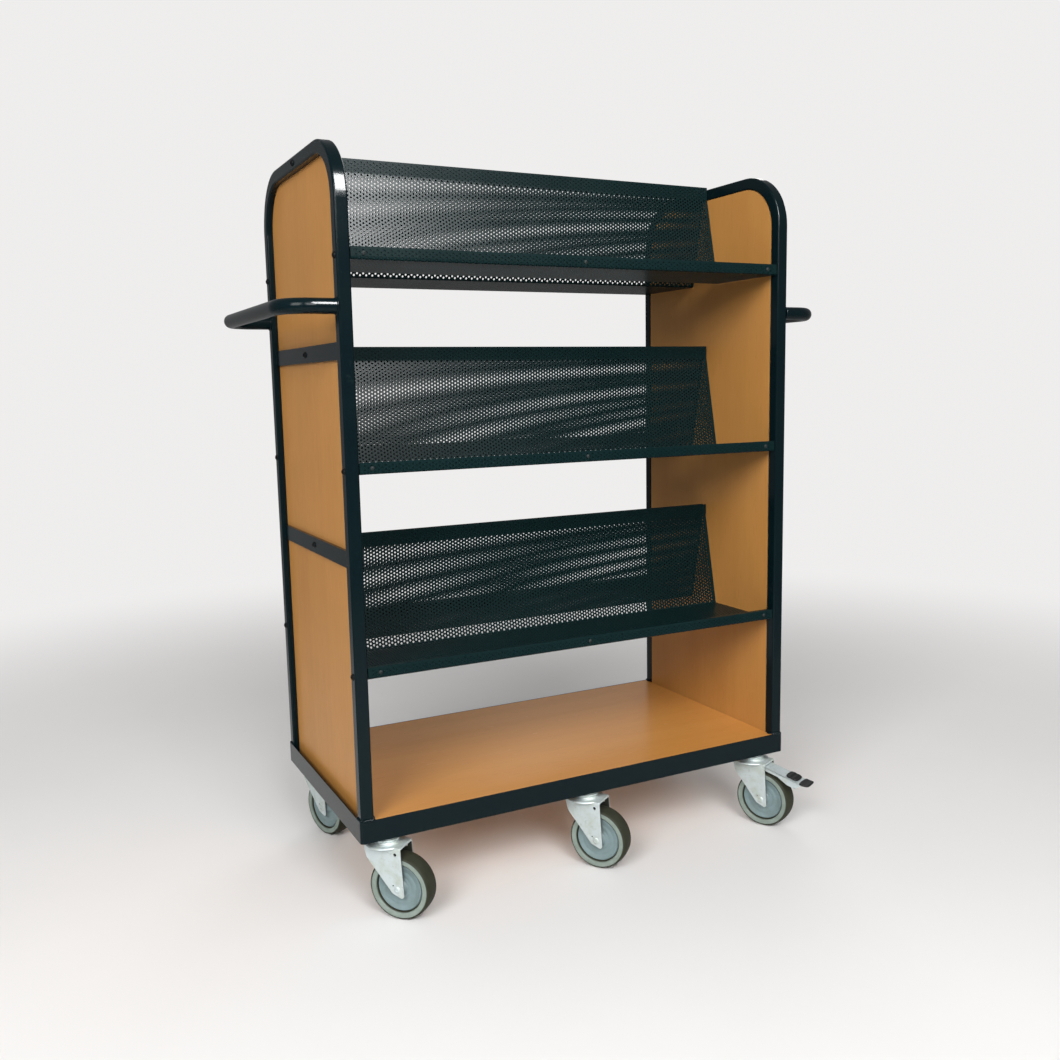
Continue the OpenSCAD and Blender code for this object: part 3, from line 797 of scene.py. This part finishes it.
@dataclass
class ShelfTier:
    """One tier: two perforated sheets, each with a lip, a tray and a back that leans to the ridge."""

    name: str
    lip_z: float
    ridge_z: float
    finishes: Finishes
    length: float = 748.0
    sheet_t: float = 1.2
    lip_y: float = 201.5
    lip_h: float = 17.5
    bend_y: float = 37.0
    ridge_y: float = 4.0
    band_h: float = 22.0
    bend_r: float = 3.0
    # Round 3.5 mm holes at 6 mm centres, drawn as hexagons of the same area.
    pitch: float = 6.0
    hole_r: float = 1.92
    end_margin: float = 4.0
    edge_margin: float = 2.2

    def path(self) -> BentPath:
        """The under side of the front sheet, from the top of the lip to the top of the ridge."""
        return BentPath(np.array([
            [-self.lip_y, self.lip_z],
            [-self.lip_y, self.lip_z - self.lip_h],
            [-self.bend_y, self.lip_z - self.lip_h],
            [-self.ridge_y, self.ridge_z - self.band_h],
            [-self.ridge_y, self.ridge_z],
        ]), self.bend_r)

    def hole_pattern(self, start: float, end: float) -> Flat:
        """Flat pattern of staggered hexagonal holes between two lengths along the path.

        Hole (i, j) has its centre at x = i w, s = (j + (i mod 2) / 2) p, with column width
        w = p sin 60. Each hole gives six points. Bands between facing sides of neighbouring holes are
        quads, and the gaps among three holes are triangles. A ring of closed cells round the pattern is
        pressed flat onto the edges, so that the pattern ends in straight lines.

        Args:
            start: Length at which the pattern starts.
            end: Length at which it ends.

        Returns:
            The flat points and the triangles, counter-clockwise.
        """
        width = self.pitch * math.sin(math.radians(60))
        columns = int((self.length - 2 * self.end_margin) / width)
        rows = int((end - start) / self.pitch - 0.5)
        pitch = (end - start) / (rows + 0.5)
        column, row, corner = np.meshgrid(
            np.arange(-1, columns + 1), np.arange(-1, rows + 1), np.arange(6), indexing="ij"
        )
        angle = corner * np.pi / 3
        x = (column - (columns - 1) / 2) * width + self.hole_r * np.cos(angle)
        along = start + (row + 0.5 + (column % 2) / 2) * pitch + self.hole_r * np.sin(angle)
        half = columns * width / 2
        flat = np.column_stack([np.clip(x, -half, half).ravel(), np.clip(along, start, end).ravel()])

        def point(cell: tuple[np.ndarray, np.ndarray], number: int) -> np.ndarray:
            """Point number of one corner of each hole.

            Args:
                cell: Column and row of each hole.
                number: Number of the corner, from 0 to 5.

            Returns:
                The point numbers, with -1 outside the pattern.
            """
            across, up = cell
            known = (across <= columns) & (up <= rows) & (up >= -1)
            return np.where(known, ((across + 1) * (rows + 2) + up + 1) * 6 + number, -1)

        column, row = column[:, :, 0].ravel(), row[:, :, 0].ravel()
        odd = column % 2
        here, above = (column, row), (column, row + 1)
        right_up, right_down = (column + 1, row + odd), (column + 1, row - 1 + odd)
        faces = []
        for cell, n in ((above, 1), (right_up, 0), (right_down, 5)):
            near, far = (here, n), (cell, (n + 3) % 6)
            faces += [[near, (cell, (n + 4) % 6), far], [near, far, (here, (n + 1) % 6)]]
        faces.append([(here, 1), (right_up, 3), (above, 5)])
        faces.append([(here, 0), (right_down, 2), (right_up, 4)])
        triangles = [np.stack([point(*place) for place in face], 1) for face in faces]
        is_closed = (column < 0) | (column == columns) | (row < 0) | (row == rows)
        triangles += [
            np.stack([point(here, number) for number in (0, first, first + 1)], 1)[is_closed]
            for first in (1, 2, 3, 4)
        ]
        triangles = np.vstack(triangles)
        return flat, triangles[(triangles >= 0).all(1)]

    def margins(self, flat: np.ndarray, rows: list[float]) -> Flat:
        """A plain strip before or after a hole pattern.

        Args:
            flat: Points of the hole pattern.
            rows: Lengths of the strip's rows, the first of which lies on an edge of the pattern.

        Returns:
            The flat points and the triangles of the strip.
        """
        on_edge = np.isclose(flat[:, 1], rows[0])
        x = np.unique(np.round(flat[on_edge, 0], 5))
        grid_x, grid_s = np.meshgrid(x, rows)
        order = -1 if rows[-1] < rows[0] else 1
        quads = grid_quads(len(rows), len(x))[:, ::order]
        return np.column_stack([grid_x.ravel(), grid_s.ravel()]), halved(quads)

    def ends(self, flat: np.ndarray) -> list[Flat]:
        """Plain strips at the left and right ends of a pattern, from its edge to the end of the sheet.

        Args:
            flat: Points of the hole pattern and its margins.

        Returns:
            Both strips.
        """
        strips = []
        for side in (-1, 1):
            edge = side * np.abs(flat[:, 0]).max()
            along = np.unique(np.round(flat[np.isclose(flat[:, 0], edge), 1], 5))
            grid_s, grid_x = np.meshgrid(along, [edge, side * self.length / 2])
            quads = grid_quads(2, len(along))[:, ::-side]
            strips.append((np.column_stack([grid_x.ravel(), grid_s.ravel()]), halved(quads)))
        return strips

    def stretch(self, start: float, end: float, below: list[float], above: list[float]) -> Shape:
        """One stretch of a front sheet, perforated from start to end, with plain rows below and above.

        Args:
            start: Length at which the holes start.
            end: Length at which they end.
            below: Lengths of the rows before the holes, from start downwards.
            above: Lengths of the rows after the holes, from end upwards.

        Returns:
            The closed sheet, bent to its path.
        """
        smallest_area = 1e-5
        parts = [self.hole_pattern(start, end)]
        parts += [self.margins(parts[0][0], rows) for rows in (below, above) if len(rows) > 1]
        parts += self.ends(np.vstack([points for points, _ in parts]))
        starts = np.cumsum([0] + [len(points) for points, _ in parts])
        flat = np.vstack([points for points, _ in parts])
        triangles = np.vstack([faces + first for (_, faces), first in zip(parts, starts)])
        flat, number = np.unique(np.round(flat, 4), axis=0, return_inverse=True)
        triangles = number.ravel()[triangles]
        triangles = triangles[doubled_areas(flat, triangles) > smallest_area]
        path = self.path()
        return walled(triangles, path.placed(flat, self.sheet_t), path.placed(flat, 0.0))

    def build(self) -> None:
        """Makes the tray and the back of both sheets, in place of the two plain CAD sheets."""
        table = self.path().sampled()
        fold = float(np.interp(-self.bend_y, table[:, 1], table[:, 0]))
        top = float(table[-1, 0])
        tray = self.stretch(self.edge_margin, fold, [self.edge_margin, 0.0], [fold])
        back = self.stretch(fold, top - self.edge_margin, [fold], [top - self.edge_margin, top])
        for side in Side:
            turn = np.diag([1.0, -float(side.value), 1.0])
            sheet = f"{self.name}_{side.name.lower()}_shelf"
            for part, shape in (("tray", tray), ("back", back)):
                make_piece(f"{sheet}_{part}", shape.moved(turn, (0, 0, 0)), FRAME_BODY, STEEL_SLOT,
                           self.finishes.sheet, (sheet,), smooth_angle=30)


# Castors


@dataclass
class Castor:
    """One swivel castor: pressed fork, ball race, moulded wheel, and a brake pedal on some."""

    name: str
    x: float
    y: float
    turn: float
    braked: bool
    finishes: Finishes
    trail: float = 27.0
    wheel_r: float = 50.0
    tyre_w: float = 30.0
    tyre_steps: int = 112
    tread_drop: float = 1.1
    tread_r: float = 2.4
    centre_r: float = 36.94
    axle_r: float = 4.0
    fork_t: float = 2.5
    leg_out: float = 20.0
    shoulder: float = 3.8
    leg_front: float = -27.0
    leg_back: float = 34.0
    crown_under: float = 113.6
    crown_top: float = 116.6
    crown_r: float = 32.0
    race_r: float = 20.0
    race_top: float = 121.6
    king_r: float = 6.1
    pivot_x: float = 28.0
    pivot_z: float = 107.5
    pedal_slope: float = 15.0
    pedal_t: float = 2.0

    def put(self, shape: Shape, turn: np.ndarray = NO_TURN, offset: Point = (0, 0, 0)) -> Shape:
        """A shape of the castor's own frame, put at its place on the trolley.

        Args:
            shape: The shape.
            turn: Matrix that turns it in the castor's own frame.
            offset: Its shift in that frame, in millimetres.

        Returns:
            The shape in the frame of the trolley.
        """
        c, s = math.cos(math.radians(self.turn)), math.sin(math.radians(self.turn))
        swivel = np.array([[c, -s, 0], [s, c, 0], [0, 0, 1.0]])
        return shape.moved(turn, offset).moved(swivel, (self.x, self.y, 0))

    def legs(self, leg_top: float) -> Shape:
        """The two legs of the fork, from their shoulders down to the tips below the axle.

        Args:
            leg_top: Height at which the legs run into their shoulders.

        Returns:
            Both legs, as flat plates with round corners.
        """
        outline = rounded([
            (self.leg_front, leg_top, 0), (self.leg_front + 3.5, 96.0, 22), (self.trail - 8, 44.0, 6),
            (self.leg_back + 1.0, 37.2, 3), (self.leg_back + 4.4, 41.0, 3), (self.leg_back, leg_top, 0),
        ])
        pivot_shift = 0 if self.braked else 1
        holes = [
            circle(self.pivot_x - 3 * pivot_shift, self.pivot_z - 2 * pivot_shift, 2.6, 20),
            circle(self.trail, self.wheel_r, self.axle_r + 0.05, 24),
            circle(self.trail - 6.5, self.wheel_r + 6.5, 1.3, 14),
        ]
        leg = plate(outline, holes, self.fork_t)
        sides = (self.leg_out, self.fork_t - self.leg_out)
        return joined([leg.moved(UPRIGHT, (0, side, 0)) for side in sides])

    def crown(self, leg_top: float) -> Shape:
        """The top of the fork: bent shoulders, a round crown with a tail, and the race.

        Args:
            leg_top: Height at which the shoulders start.

        Returns:
            A channel with quarter rings for shoulders, a turned profile and a flat plate.
        """
        angle = np.linspace(0, np.pi / 2, 9)
        middle = self.leg_out - self.shoulder
        spoke = np.column_stack([np.cos(angle), np.sin(angle)])
        right = np.array([middle, leg_top]) + self.shoulder * spoke
        right_in = (np.array([middle, leg_top]) + (self.shoulder - self.fork_t) * spoke)[::-1]
        flip = np.array([-1.0, 1.0])
        section = np.vstack([right, right[::-1] * flip, right_in[::-1] * flip, right_in])
        channel = plate(section, [], self.leg_back - self.leg_front)
        along = np.array([[0, 0, 1.0], [1.0, 0, 0], [0, 1.0, 0]])
        bridge = channel.moved(along, (self.leg_front, 0, 0))
        crown = turned(rounded([
            (self.king_r, self.crown_under, 0.2), (self.crown_r - 1, self.crown_under, 0.8),
            (self.crown_r, self.crown_top - 1.0, 0.8), (self.crown_r - 2.2, self.crown_top + 0.2, 0.8),
            (self.race_r + 3.4, self.crown_top + 0.2, 0.8), (self.race_r, self.crown_top + 2.2, 0.8),
            (self.race_r - 0.2, self.race_top - 1.4, 0.6), (self.race_r - 1.6, self.race_top, 0.5),
            (self.king_r, self.race_top, 0.2),
        ], 3))
        tail_start, tail_end = 10, self.leg_back - 0.2
        tail = plate(rounded([
            (tail_start, -self.leg_out, 0), (tail_end, -self.leg_out, 3), (tail_end, self.leg_out, 3),
            (tail_start, self.leg_out, 0),
        ]), [], self.fork_t)
        return joined([bridge, crown, tail.moved(NO_TURN, (0, 0, self.crown_top - self.fork_t))])

    def tyre_profile(self) -> tuple[np.ndarray, np.ndarray]:
        """Profile of the tyre, and how dark each of its points is drawn.

        The tread is a shallow arc, r = R - c (h / w)^2, that runs into round shoulders.

        Returns:
            The points, and the darkening of each: 1 on the tread and, as painted shade, in the groove
            beside the wheel centre, 0 on the sidewalls.
        """
        half, edge = self.tyre_w / 2, self.wheel_r - self.tread_drop - self.tread_r
        tread_points = 17
        across = np.linspace(-1, 1, tread_points)
        tread = np.column_stack([
            self.wheel_r - self.tread_drop * across ** 2, across * (half - self.tread_r)
        ])
        shoulder = np.linspace(0, np.pi / 2, 6)[1:]
        upper = np.column_stack([
            edge + self.tread_r * np.cos(shoulder), half - self.tread_r + self.tread_r * np.sin(shoulder)
        ])
        side = np.array([
            [46.0, half - 0.02], [45.4, half], [42.0, half], [39.4, half - 0.1], [38.5, half - 1.0],
            [38.2, half - 2.6], [self.centre_r + 0.1, 10.8],
        ])
        sidewall = np.vstack([upper, side])
        profile = np.vstack([tread, sidewall, sidewall[::-1] * np.array([1.0, -1.0])])
        # Along each side: shoulder, sidewall, then the groove beside the wheel centre, whose 1s are painted
        # shade.
        side_darkened = np.array([1.0, 1.0, 1.0, 1.0, 0.9, 0.3, 0.0, 0.0, 0.0, 0.3, 1.0, 1.0])
        return profile, np.concatenate([np.ones(tread_points), side_darkened, side_darkened[::-1]])

    def centre_profile(self) -> np.ndarray:
        """Profile of the moulded wheel centre, alike on both faces.

        Returns:
            The points of the rim, the rings, the dished web and the hub.
        """
        rim, hub = self.centre_r, self.axle_r
        face = np.array([
            [rim - 0.1, 9.8], [rim - 0.9, 10.2], [rim - 1.4, 11.7], [rim - 2.3, 12.0], [rim - 3.6, 11.7],
            [32.4, 11.0], [28.0, 10.7], [27.2, 10.35], [26.4, 10.6], [19.5, 10.4], [18.8, 10.1],
            [18.1, 10.35], [13.4, 10.6], [11.6, 12.4], [10.4, 15.6], [9.4, 16.5], [hub + 0.3, 16.6],
            [hub + 0.1, 16.3],
        ])
        return np.vstack([face[::-1] * np.array([1.0, -1.0]), face])

    def piece(
        self, name: str, shape: Shape, body: str, slot: str, material: Material, stands_for: str,
        **looks: float,
    ) -> bpy.types.Object:
        """Makes a piece of this castor, whose three names are given without the castor's own."""
        return make_piece(f"{self.name}_{name}", shape, f"{self.name}_{body}", slot, material,
                          (f"{self.name}_{stands_for}",), **looks)

    def on_axle(self, shape: Shape) -> Shape:
        """A turned shape put on the wheel axle, so that its own axis lies across the fork."""
        return self.put(shape, UPRIGHT, (self.trail, 0, self.wheel_r))

    def build(self) -> None:
        """Makes the pieces of the castor in place of its CAD nodes."""
        leg_top = self.crown_under + self.fork_t - self.shoulder
        legs, crown = self.legs(leg_top), self.crown(leg_top)
        fork = self.piece("pressed_fork", self.put(joined([legs, crown])), "castor", ZINC_SLOT,
                          self.finishes.zinc, "fork", smooth_angle=32)
        # The faces between the legs are marked for the zinc finish's painted shade.
        between = np.abs(legs.points[:, 1]) < self.leg_out - self.fork_t / 2
        mark_points(fork, "inside", np.concatenate([between, np.zeros(len(crown.points))]))
        centre = self.on_axle(turned(self.centre_profile(), 96))
        self.piece("moulded_wheel_centre", centre, "wheel", "grey_plastic", self.finishes.wheel,
                   "wheel_centre")
        profile, darkened = self.tyre_profile()
        tread = self.on_axle(turned(profile, self.tyre_steps))
        tyre = self.piece("moulded_tyre", tread, "wheel", "tyre_rubber", self.finishes.tyre, "tyre")
        mark_points(tyre, "darkened", np.tile(darkened, self.tyre_steps))
        if self.braked:
            self.build_pedal()

    def build_pedal(self) -> None:
        """Makes the brake pedal: a zinc channel with round edges, a black insert and a black beak."""
        c, s = math.cos(math.radians(self.pedal_slope)), math.sin(math.radians(self.pedal_slope))
        tilt = np.array([[c, 0, s], [0, 1, 0], [-s, 0, c]])
        pivot = (self.pivot_x, 0, self.pivot_z)
        cheek = rounded([
            (-4.5, -4.5, 4.4), (6, -2.2, 3), (30, -2.0, 6), (50, -8, 6), (66, -8, 3), (74, 2.5, 2),
            (74, 4.4, 0.2), (-4.5, 4.5, 4.4),
        ])
        side = plate(cheek, [circle(0, 0, 2.56, 20)], self.pedal_t)
        half = 15
        top = rounded([
            (0, -half, 0.5), (72, -half, 2), (74, 2 - half, 2), (74, half - 2, 2), (72, half, 2),
            (0, half, 0.5),
        ], 4)
        channel = joined([
            side.moved(UPRIGHT, (0, half, 0)), side.moved(UPRIGHT, (0, self.pedal_t - half, 0)),
            plate(top, [], self.pedal_t).moved(NO_TURN, (0, 0, 2.5)),
        ])
        self.piece("pressed_pedal", self.put(channel, tilt, pivot), "pedal", ZINC_SLOT,
                   self.finishes.zinc, "brake_pedal", bevel=0.5)
        insert = self.pad_block(start=42, end=66, half=13.0, low=4.6, high=8.6, rise=0.0)
        beak = self.pad_block(start=69, end=88, half=16.8, low=2.0, high=6.4, rise=3.0)
        pad = self.put(joined([insert, beak]), tilt, pivot)
        self.piece("pedal_insert", pad, "pedal", "black_plastic", self.finishes.pad, "pedal_pad",
                   smooth_angle=50)

    def pad_block(
        self, start: float, end: float, half: float, low: float, high: float, rise: float
    ) -> Shape:
        """A rounded block of the pad, along x from start to end, whose far end rises.

        Each cross section is a superellipse, |y / b|^n + |z / c|^n = 1, whose half width b and half
        height c close to a point at both ends, and whose middle climbs by rise times the square of the
        share of the length. A level block has ridges, and a rising one narrows.

        Args:
            start: Near end.
            end: Far end.
            half: Half width.
            low: Height of the under side.
            high: Height of the upper side.
            rise: Climb of the far end.

        Returns:
            The closed block.
        """
        steps, ring_steps, squareness, narrowing, ridge_h = 22, 28, 4.5, 0.18, 0.35
        share = np.linspace(0, 1, steps)[:, None]
        angle = np.linspace(0, 2 * np.pi, ring_steps, endpoint=False)[None, :]
        close = np.clip(1 - np.abs(2 * share - 1) ** 7, 0, 1) ** 0.5
        across = np.sign(np.cos(angle)) * np.abs(np.cos(angle)) ** (2 / squareness)
        upward = np.sign(np.sin(angle)) * np.abs(np.sin(angle)) ** (2 / squareness)
        x = start + (end - start) * share
        y = half * close * (1 - narrowing * share * (rise > 0)) * across
        ridge = ridge_h * np.cos(share * 6 * np.pi) * (rise == 0)
        z = (high + low) / 2 + rise * share ** 2 + ((high - low) / 2 * close + ridge) * upward
        points = np.stack(np.broadcast_arrays(x, y, z), -1).reshape(-1, 3)
        return Shape(points, quads=grid_quads(steps, ring_steps, False, True)[:, ::-1])


@dataclass
class CastorHeads:
    """The fixed upper races of the six castors, which are one CAD node."""

    places: list[Pair]
    finishes: Finishes
    hole_r: float = 6.25
    head_r: float = 22.0
    low: float = 122.0
    top: float = 130.0

    def profile(self) -> np.ndarray:
        """Closed profile of a pressed head: flat top, two ring grooves and a rolled lower rim."""
        return rounded([
            (self.hole_r, self.low, 0.2), (15.5, self.low, 0.6), (self.head_r - 0.8, self.low, 0.8),
            (self.head_r, self.low + 1.6, 0.8), (self.head_r - 0.3, self.low + 3.0, 0.6),
            (self.head_r - 1.6, self.low + 3.9, 0.5), (self.head_r - 1.7, self.low + 4.7, 0.5),
            (self.head_r - 1.0, self.low + 5.7, 0.6), (self.head_r - 2.6, self.top - 1.0, 0.8),
            (self.head_r - 4.6, self.top, 0.8), (self.hole_r, self.top, 0.2),
        ], 3)

    def build(self) -> None:
        """Makes all six heads as one piece."""
        head = turned(self.profile())
        shape = joined([head.moved(NO_TURN, (x, y, 0)) for x, y in self.places])
        make_piece("castor_pressed_heads", shape, FRAME_BODY, ZINC_SLOT, self.finishes.zinc,
                   ("castor_heads",))


# Frame


@dataclass
class FrameWork:
    """The weld beads of the frame, whose tubes, base and bars are CAD solids."""

    finishes: Finishes
    half_length: float = 395.0
    half_depth: float = 204.0
    tube: float = 20.0
    base_top: float = 164.0
    base_ripple: float = 4.0
    handle_z: float = 910.0
    handle_r: float = 11.0
    bar_x: float = 389.5
    bar_h: float = 25.0
    bar_heights: Pair = (551.0, 849.5)

    def base_beads(self) -> list[Shape]:
        """Beads where each post goes down into the base: on its two outer faces and its inner one.

        Returns:
            Three beads for each of the four posts.
        """
        beads = []
        z = self.base_top + 0.2
        for end, side in CORNERS:
            x, y = end * (self.half_length + 0.4), side * (self.half_depth + 0.4)
            inner_x, inner_y = end * (self.half_length - self.tube), side * (self.half_depth - self.tube)
            foot_x, foot_z = inner_x - end * 0.6, z + 0.2
            front = line((inner_x - end * 1.5, y, z + 0.4), (x - end * 2, y, z))
            outer = line((x, inner_y, z), (x, y - side * 2, z))
            inner = line((foot_x, y - side * 3, foot_z), (foot_x, y - side * 14, foot_z))
            for path, radius in ((front, 3.2), (outer, 2.4), (inner, 3.0)):
                beads.append(weld_bead(path, radius, self.base_ripple))
        return beads

    def handle_beads(self) -> list[Shape]:
        """A ring of weld round each handle leg: x fixed, y and z on a circle of the tube's radius.

        Returns:
            One bead for each of the four legs.
        """
        angle = np.linspace(0, 2 * np.pi, 90)
        radius = self.handle_r + 0.5
        beads = []
        for end, side in CORNERS:
            ring = np.column_stack([
                np.full(len(angle), end * (self.half_length + 0.7)),
                side * (self.half_depth - self.tube / 2) + radius * np.cos(angle),
                self.handle_z + radius * np.sin(angle),
            ])
            beads.append(weld_bead(ring, 1.3))
        return beads

    def bar_beads(self) -> list[Shape]:
        """An upright bead at both ends of each cross bar, in the corner that it makes with the post.

        Returns:
            Two beads for each of the four bars.
        """
        half = self.bar_h / 2
        beads = []
        for end, side in CORNERS:
            x, y = end * (self.bar_x + 0.4), side * (self.half_depth - self.tube - 0.5)
            for height in self.bar_heights:
                beads.append(weld_bead(line((x, y, height - half + 0.8), (x, y, height + half - 0.8)), 1.2))
        return beads

    def build(self) -> None:
        """Makes the weld beads."""
        groups = {"base": self.base_beads(), "handle": self.handle_beads(), "bar": self.bar_beads()}
        for name, beads in groups.items():
            make_piece(f"{name}_weld_beads", joined(beads), FRAME_BODY, STEEL_SLOT, self.finishes.steel,
                       smooth_angle=80)


def dress_cad_nodes(nodes: dict[str, bpy.types.Object], finishes: Finishes) -> None:
    """Gives each CAD node the finish of its real material, by how its name ends.

    Args:
        nodes: The CAD nodes by name.
        finishes: The finishes.
    """
    endings = {
        "deck_board": finishes.deck_beech,
        "_end_panel": finishes.end_beech,
        ("post_bolts", "ridge_bolts"): finishes.bolt,
        "lip_screws": finishes.dull_zinc,
        ("_axle", "_pin", "_fork", "_pedal"): finishes.zinc,
        ("castor_heads", "castor_bolts", "castor_nuts"): finishes.zinc,
        "_tyre": finishes.tyre,
        "_wheel_centre": finishes.wheel,
        "_pedal_pad": finishes.pad,
        ("_rail", "_rails"): finishes.sheet,
    }
    for name, node in nodes.items():
        matches = [finish for ending, finish in endings.items() if name.endswith(ending)]
        material = matches[0] if matches else finishes.steel
        node.data.materials.clear()
        node.data.materials.append(material)
        log.info("%s: CAD solid in %s", name, material.name)


# Studio


@dataclass(frozen=True)
class Lamp:
    """A rectangular soft lamp: its place, target and size in metres, and its power in watts."""

    name: str
    place: Point
    target: Point
    size: Pair
    watts: float
    only_gloss: bool = False

    def build(self) -> None:
        """Adds the lamp, which the camera doesn't see."""
        data = bpy.data.lights.new(self.name, "AREA")
        data.shape = "RECTANGLE"
        data.size, data.size_y = self.size
        data.energy = self.watts
        lamp = bpy.data.objects.new(self.name, data)
        bpy.context.collection.objects.link(lamp)
        lamp.location = self.place
        ahead = Vector(self.target) - Vector(self.place)
        lamp.rotation_euler = ahead.to_track_quat("-Z", "Y").to_euler()
        lamp.visible_camera = False
        lamp.visible_diffuse = not self.only_gloss


LAMPS = (
    Lamp("key_lamp", place=(-2.5, -2.2, 2.2), target=(0, 0, 0.6), size=(1.6, 1.6), watts=96),
    Lamp("front_lamp", place=(-0.5, -3.0, 2.2), target=(0, 0, 0.5), size=(1.4, 1.4), watts=80),
    Lamp("rear_lamp", place=(1.8, 2.4, 2.6), target=(0, 0, 0.7), size=(1.6, 1.6), watts=20),
    Lamp("window_gleam", place=(0.18, -1.98, 2.35), target=(-0.385, -0.2, 1.08), size=(0.7, 1.1),
         watts=270, only_gloss=True),
)


@dataclass
class Studio:
    """Camera, soft lamps, pale floor and pale surroundings."""

    camera_at: Point = (-829.72, -1620.72, 797.63)
    yaw: float = 27.03
    pitch: float = -7.95
    roll: float = -1.13
    lens: float = 35.39
    sensor: float = 36.0
    clip: Pair = (0.05, 200.0)
    pale: float = 0.86
    reflected: float = 0.24
    light_level: float = 0.3
    floor_rings: tuple[float, ...] = (0.001, 1.5, 3.0, 6.0, 12.0, 40.0)
    floor_fade: Pair = (0.95, 2.8)
    floor_roughness: float = 0.85
    floor_specular: float = 0.2

    def camera(self) -> None:
        """Puts the camera where the photograph was taken from.

        It looks along (sin yaw cos pitch, cos yaw cos pitch, sin pitch), and is then rolled.
        """
        yaw, pitch, roll = (math.radians(angle) for angle in (self.yaw, self.pitch, self.roll))
        ahead = np.array([math.sin(yaw) * math.cos(pitch), math.cos(yaw) * math.cos(pitch), math.sin(pitch)])
        level = np.array([math.cos(yaw), -math.sin(yaw), 0])
        above = np.cross(level, ahead)
        right = level * math.cos(roll) + above * math.sin(roll)
        up = np.cross(right, ahead)
        data = bpy.data.cameras.new("camera")
        data.lens, data.sensor_width = self.lens, self.sensor
        data.clip_start, data.clip_end = self.clip
        camera = bpy.data.objects.new("camera", data)
        bpy.context.collection.objects.link(camera)
        matrix = Matrix.Identity(4)
        for i, axis in enumerate((right, up, -ahead)):
            matrix.col[i][:3] = axis
        matrix.translation = Vector(self.camera_at) * MM
        camera.matrix_world = matrix
        bpy.context.scene.camera = camera

    def strength(self, tree: bpy.types.NodeTree) -> Socket:
        """Strength of the surroundings: pale to the camera and through glass, dimmer in reflections
        and as light on the object.

        Args:
            tree: Node tree that the nodes are added to.

        Returns:
            The socket that gives the strength.
        """
        ray = add(tree, "LightPath", {}).outputs
        sight = {0: ray["Is Camera Ray"], 1: ray["Is Transmission Ray"]}
        seen = add(tree, "Math", sight, operation="MAXIMUM").outputs[0]
        dim = {"Value": ray["Is Glossy Ray"], "To Min": self.light_level, "To Max": self.reflected}
        unseen = add(tree, "MapRange", dim).outputs["Result"]
        by_ray = {"Value": seen, "To Min": unseen, "To Max": self.pale}
        return add(tree, "MapRange", by_ray).outputs["Result"]

    def surroundings(self) -> None:
        """Makes the world light."""
        world = bpy.data.worlds.new("studio")
        world.use_nodes = True
        bpy.context.scene.world = world
        background = world.node_tree.nodes["Background"]
        background.inputs["Color"].default_value = PALE_TINT
        world.node_tree.links.new(self.strength(world.node_tree), background.inputs["Strength"])

    def floor(self) -> None:
        """A pale floor disc that keeps the shadow near by and fades into the surroundings further off."""
        steps = 96
        angle = np.linspace(0, 2 * np.pi, steps, endpoint=False)
        x, y = np.outer(self.floor_rings, np.cos(angle)), np.outer(self.floor_rings, np.sin(angle))
        points = np.stack([x, y, np.zeros_like(x)], -1).reshape(-1, 3)
        faces = grid_quads(len(self.floor_rings), steps, False, True)[:, ::-1]
        mesh = bpy.data.meshes.new("floor")
        mesh.from_pydata(points.tolist(), [], faces.tolist())
        floor = bpy.data.objects.new("floor", mesh)
        bpy.context.collection.objects.link(floor)
        look = Look("pale_studio_floor")
        away = add(look.tree, "VectorMath", {0: look.place}, operation="LENGTH").outputs["Value"]
        near, far = self.floor_fade
        reach = {"Value": away, "From Min": near, "From Max": far}
        fade = add(look.tree, "MapRange", reach, interpolation_type="SMOOTHSTEP").outputs["Result"]
        tone = look.mix(look.noise(400, 3), "#e9e8e7", "#e4e3e2")
        look.shader.inputs["Roughness"].default_value = self.floor_roughness
        look.shader.inputs["Specular IOR Level"].default_value = self.floor_specular
        look.tree.links.new(tone, look.shader.inputs["Base Color"])
        glow = add(look.tree, "Emission", {"Color": PALE_TINT, "Strength": self.strength(look.tree)})
        mixed = add(look.tree, "MixShader", {0: fade, 1: look.shader.outputs[0], 2: glow.outputs[0]})
        look.tree.links.new(mixed.outputs[0], look.tree.nodes["Material Output"].inputs["Surface"])
        floor.data.materials.append(look.material)

    def build(self) -> None:
        """Makes the studio round the trolley."""
        self.camera()
        self.surroundings()
        self.floor()
        for lamp in LAMPS:
            lamp.build()
        bpy.context.scene.view_settings.view_transform = "Standard"


# Trolley

# Name of each tier, height of its lips and height of its ridge.
TIERS = (("lower", 394.0, 563.5), ("middle", 692.5, 862.0), ("top", 991.0, 1149.5))
# Distances from the middle to the castors' upright axes, and the angle to which each castor is turned.
CASTOR_X, CASTOR_Y = 350.0, 179.0
CASTOR_TURNS = {
    Side.FRONT: {"left": -48, "middle": -55, "right": -65},
    Side.REAR: {"left": -70, "middle": 60, "right": 65},
}
SIGNS = {"left": -1, "middle": 0, "right": 1}


def main() -> None:
    """Builds the trolley's looks and its studio."""
    logging.basicConfig(level=logging.INFO, format="%(message)s")
    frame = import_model()
    finishes = Finishes.made()
    Studio().build()
    dress_cad_nodes(frame["nodes"], finishes)
    FrameWork(finishes).build()
    for name, lip_z, ridge_z in TIERS:
        ShelfTier(name, lip_z, ridge_z, finishes).build()
    castors = [
        Castor(f"{side.name.lower()}_{place}", SIGNS[place] * CASTOR_X, side.value * CASTOR_Y, turn,
               place == "right", finishes)
        for side, turns in CASTOR_TURNS.items()
        for place, turn in turns.items()
    ]
    for castor in castors:
        castor.build()
    CastorHeads([(castor.x, castor.y) for castor in castors], finishes).build()


if __name__ == "__main__":
    main()
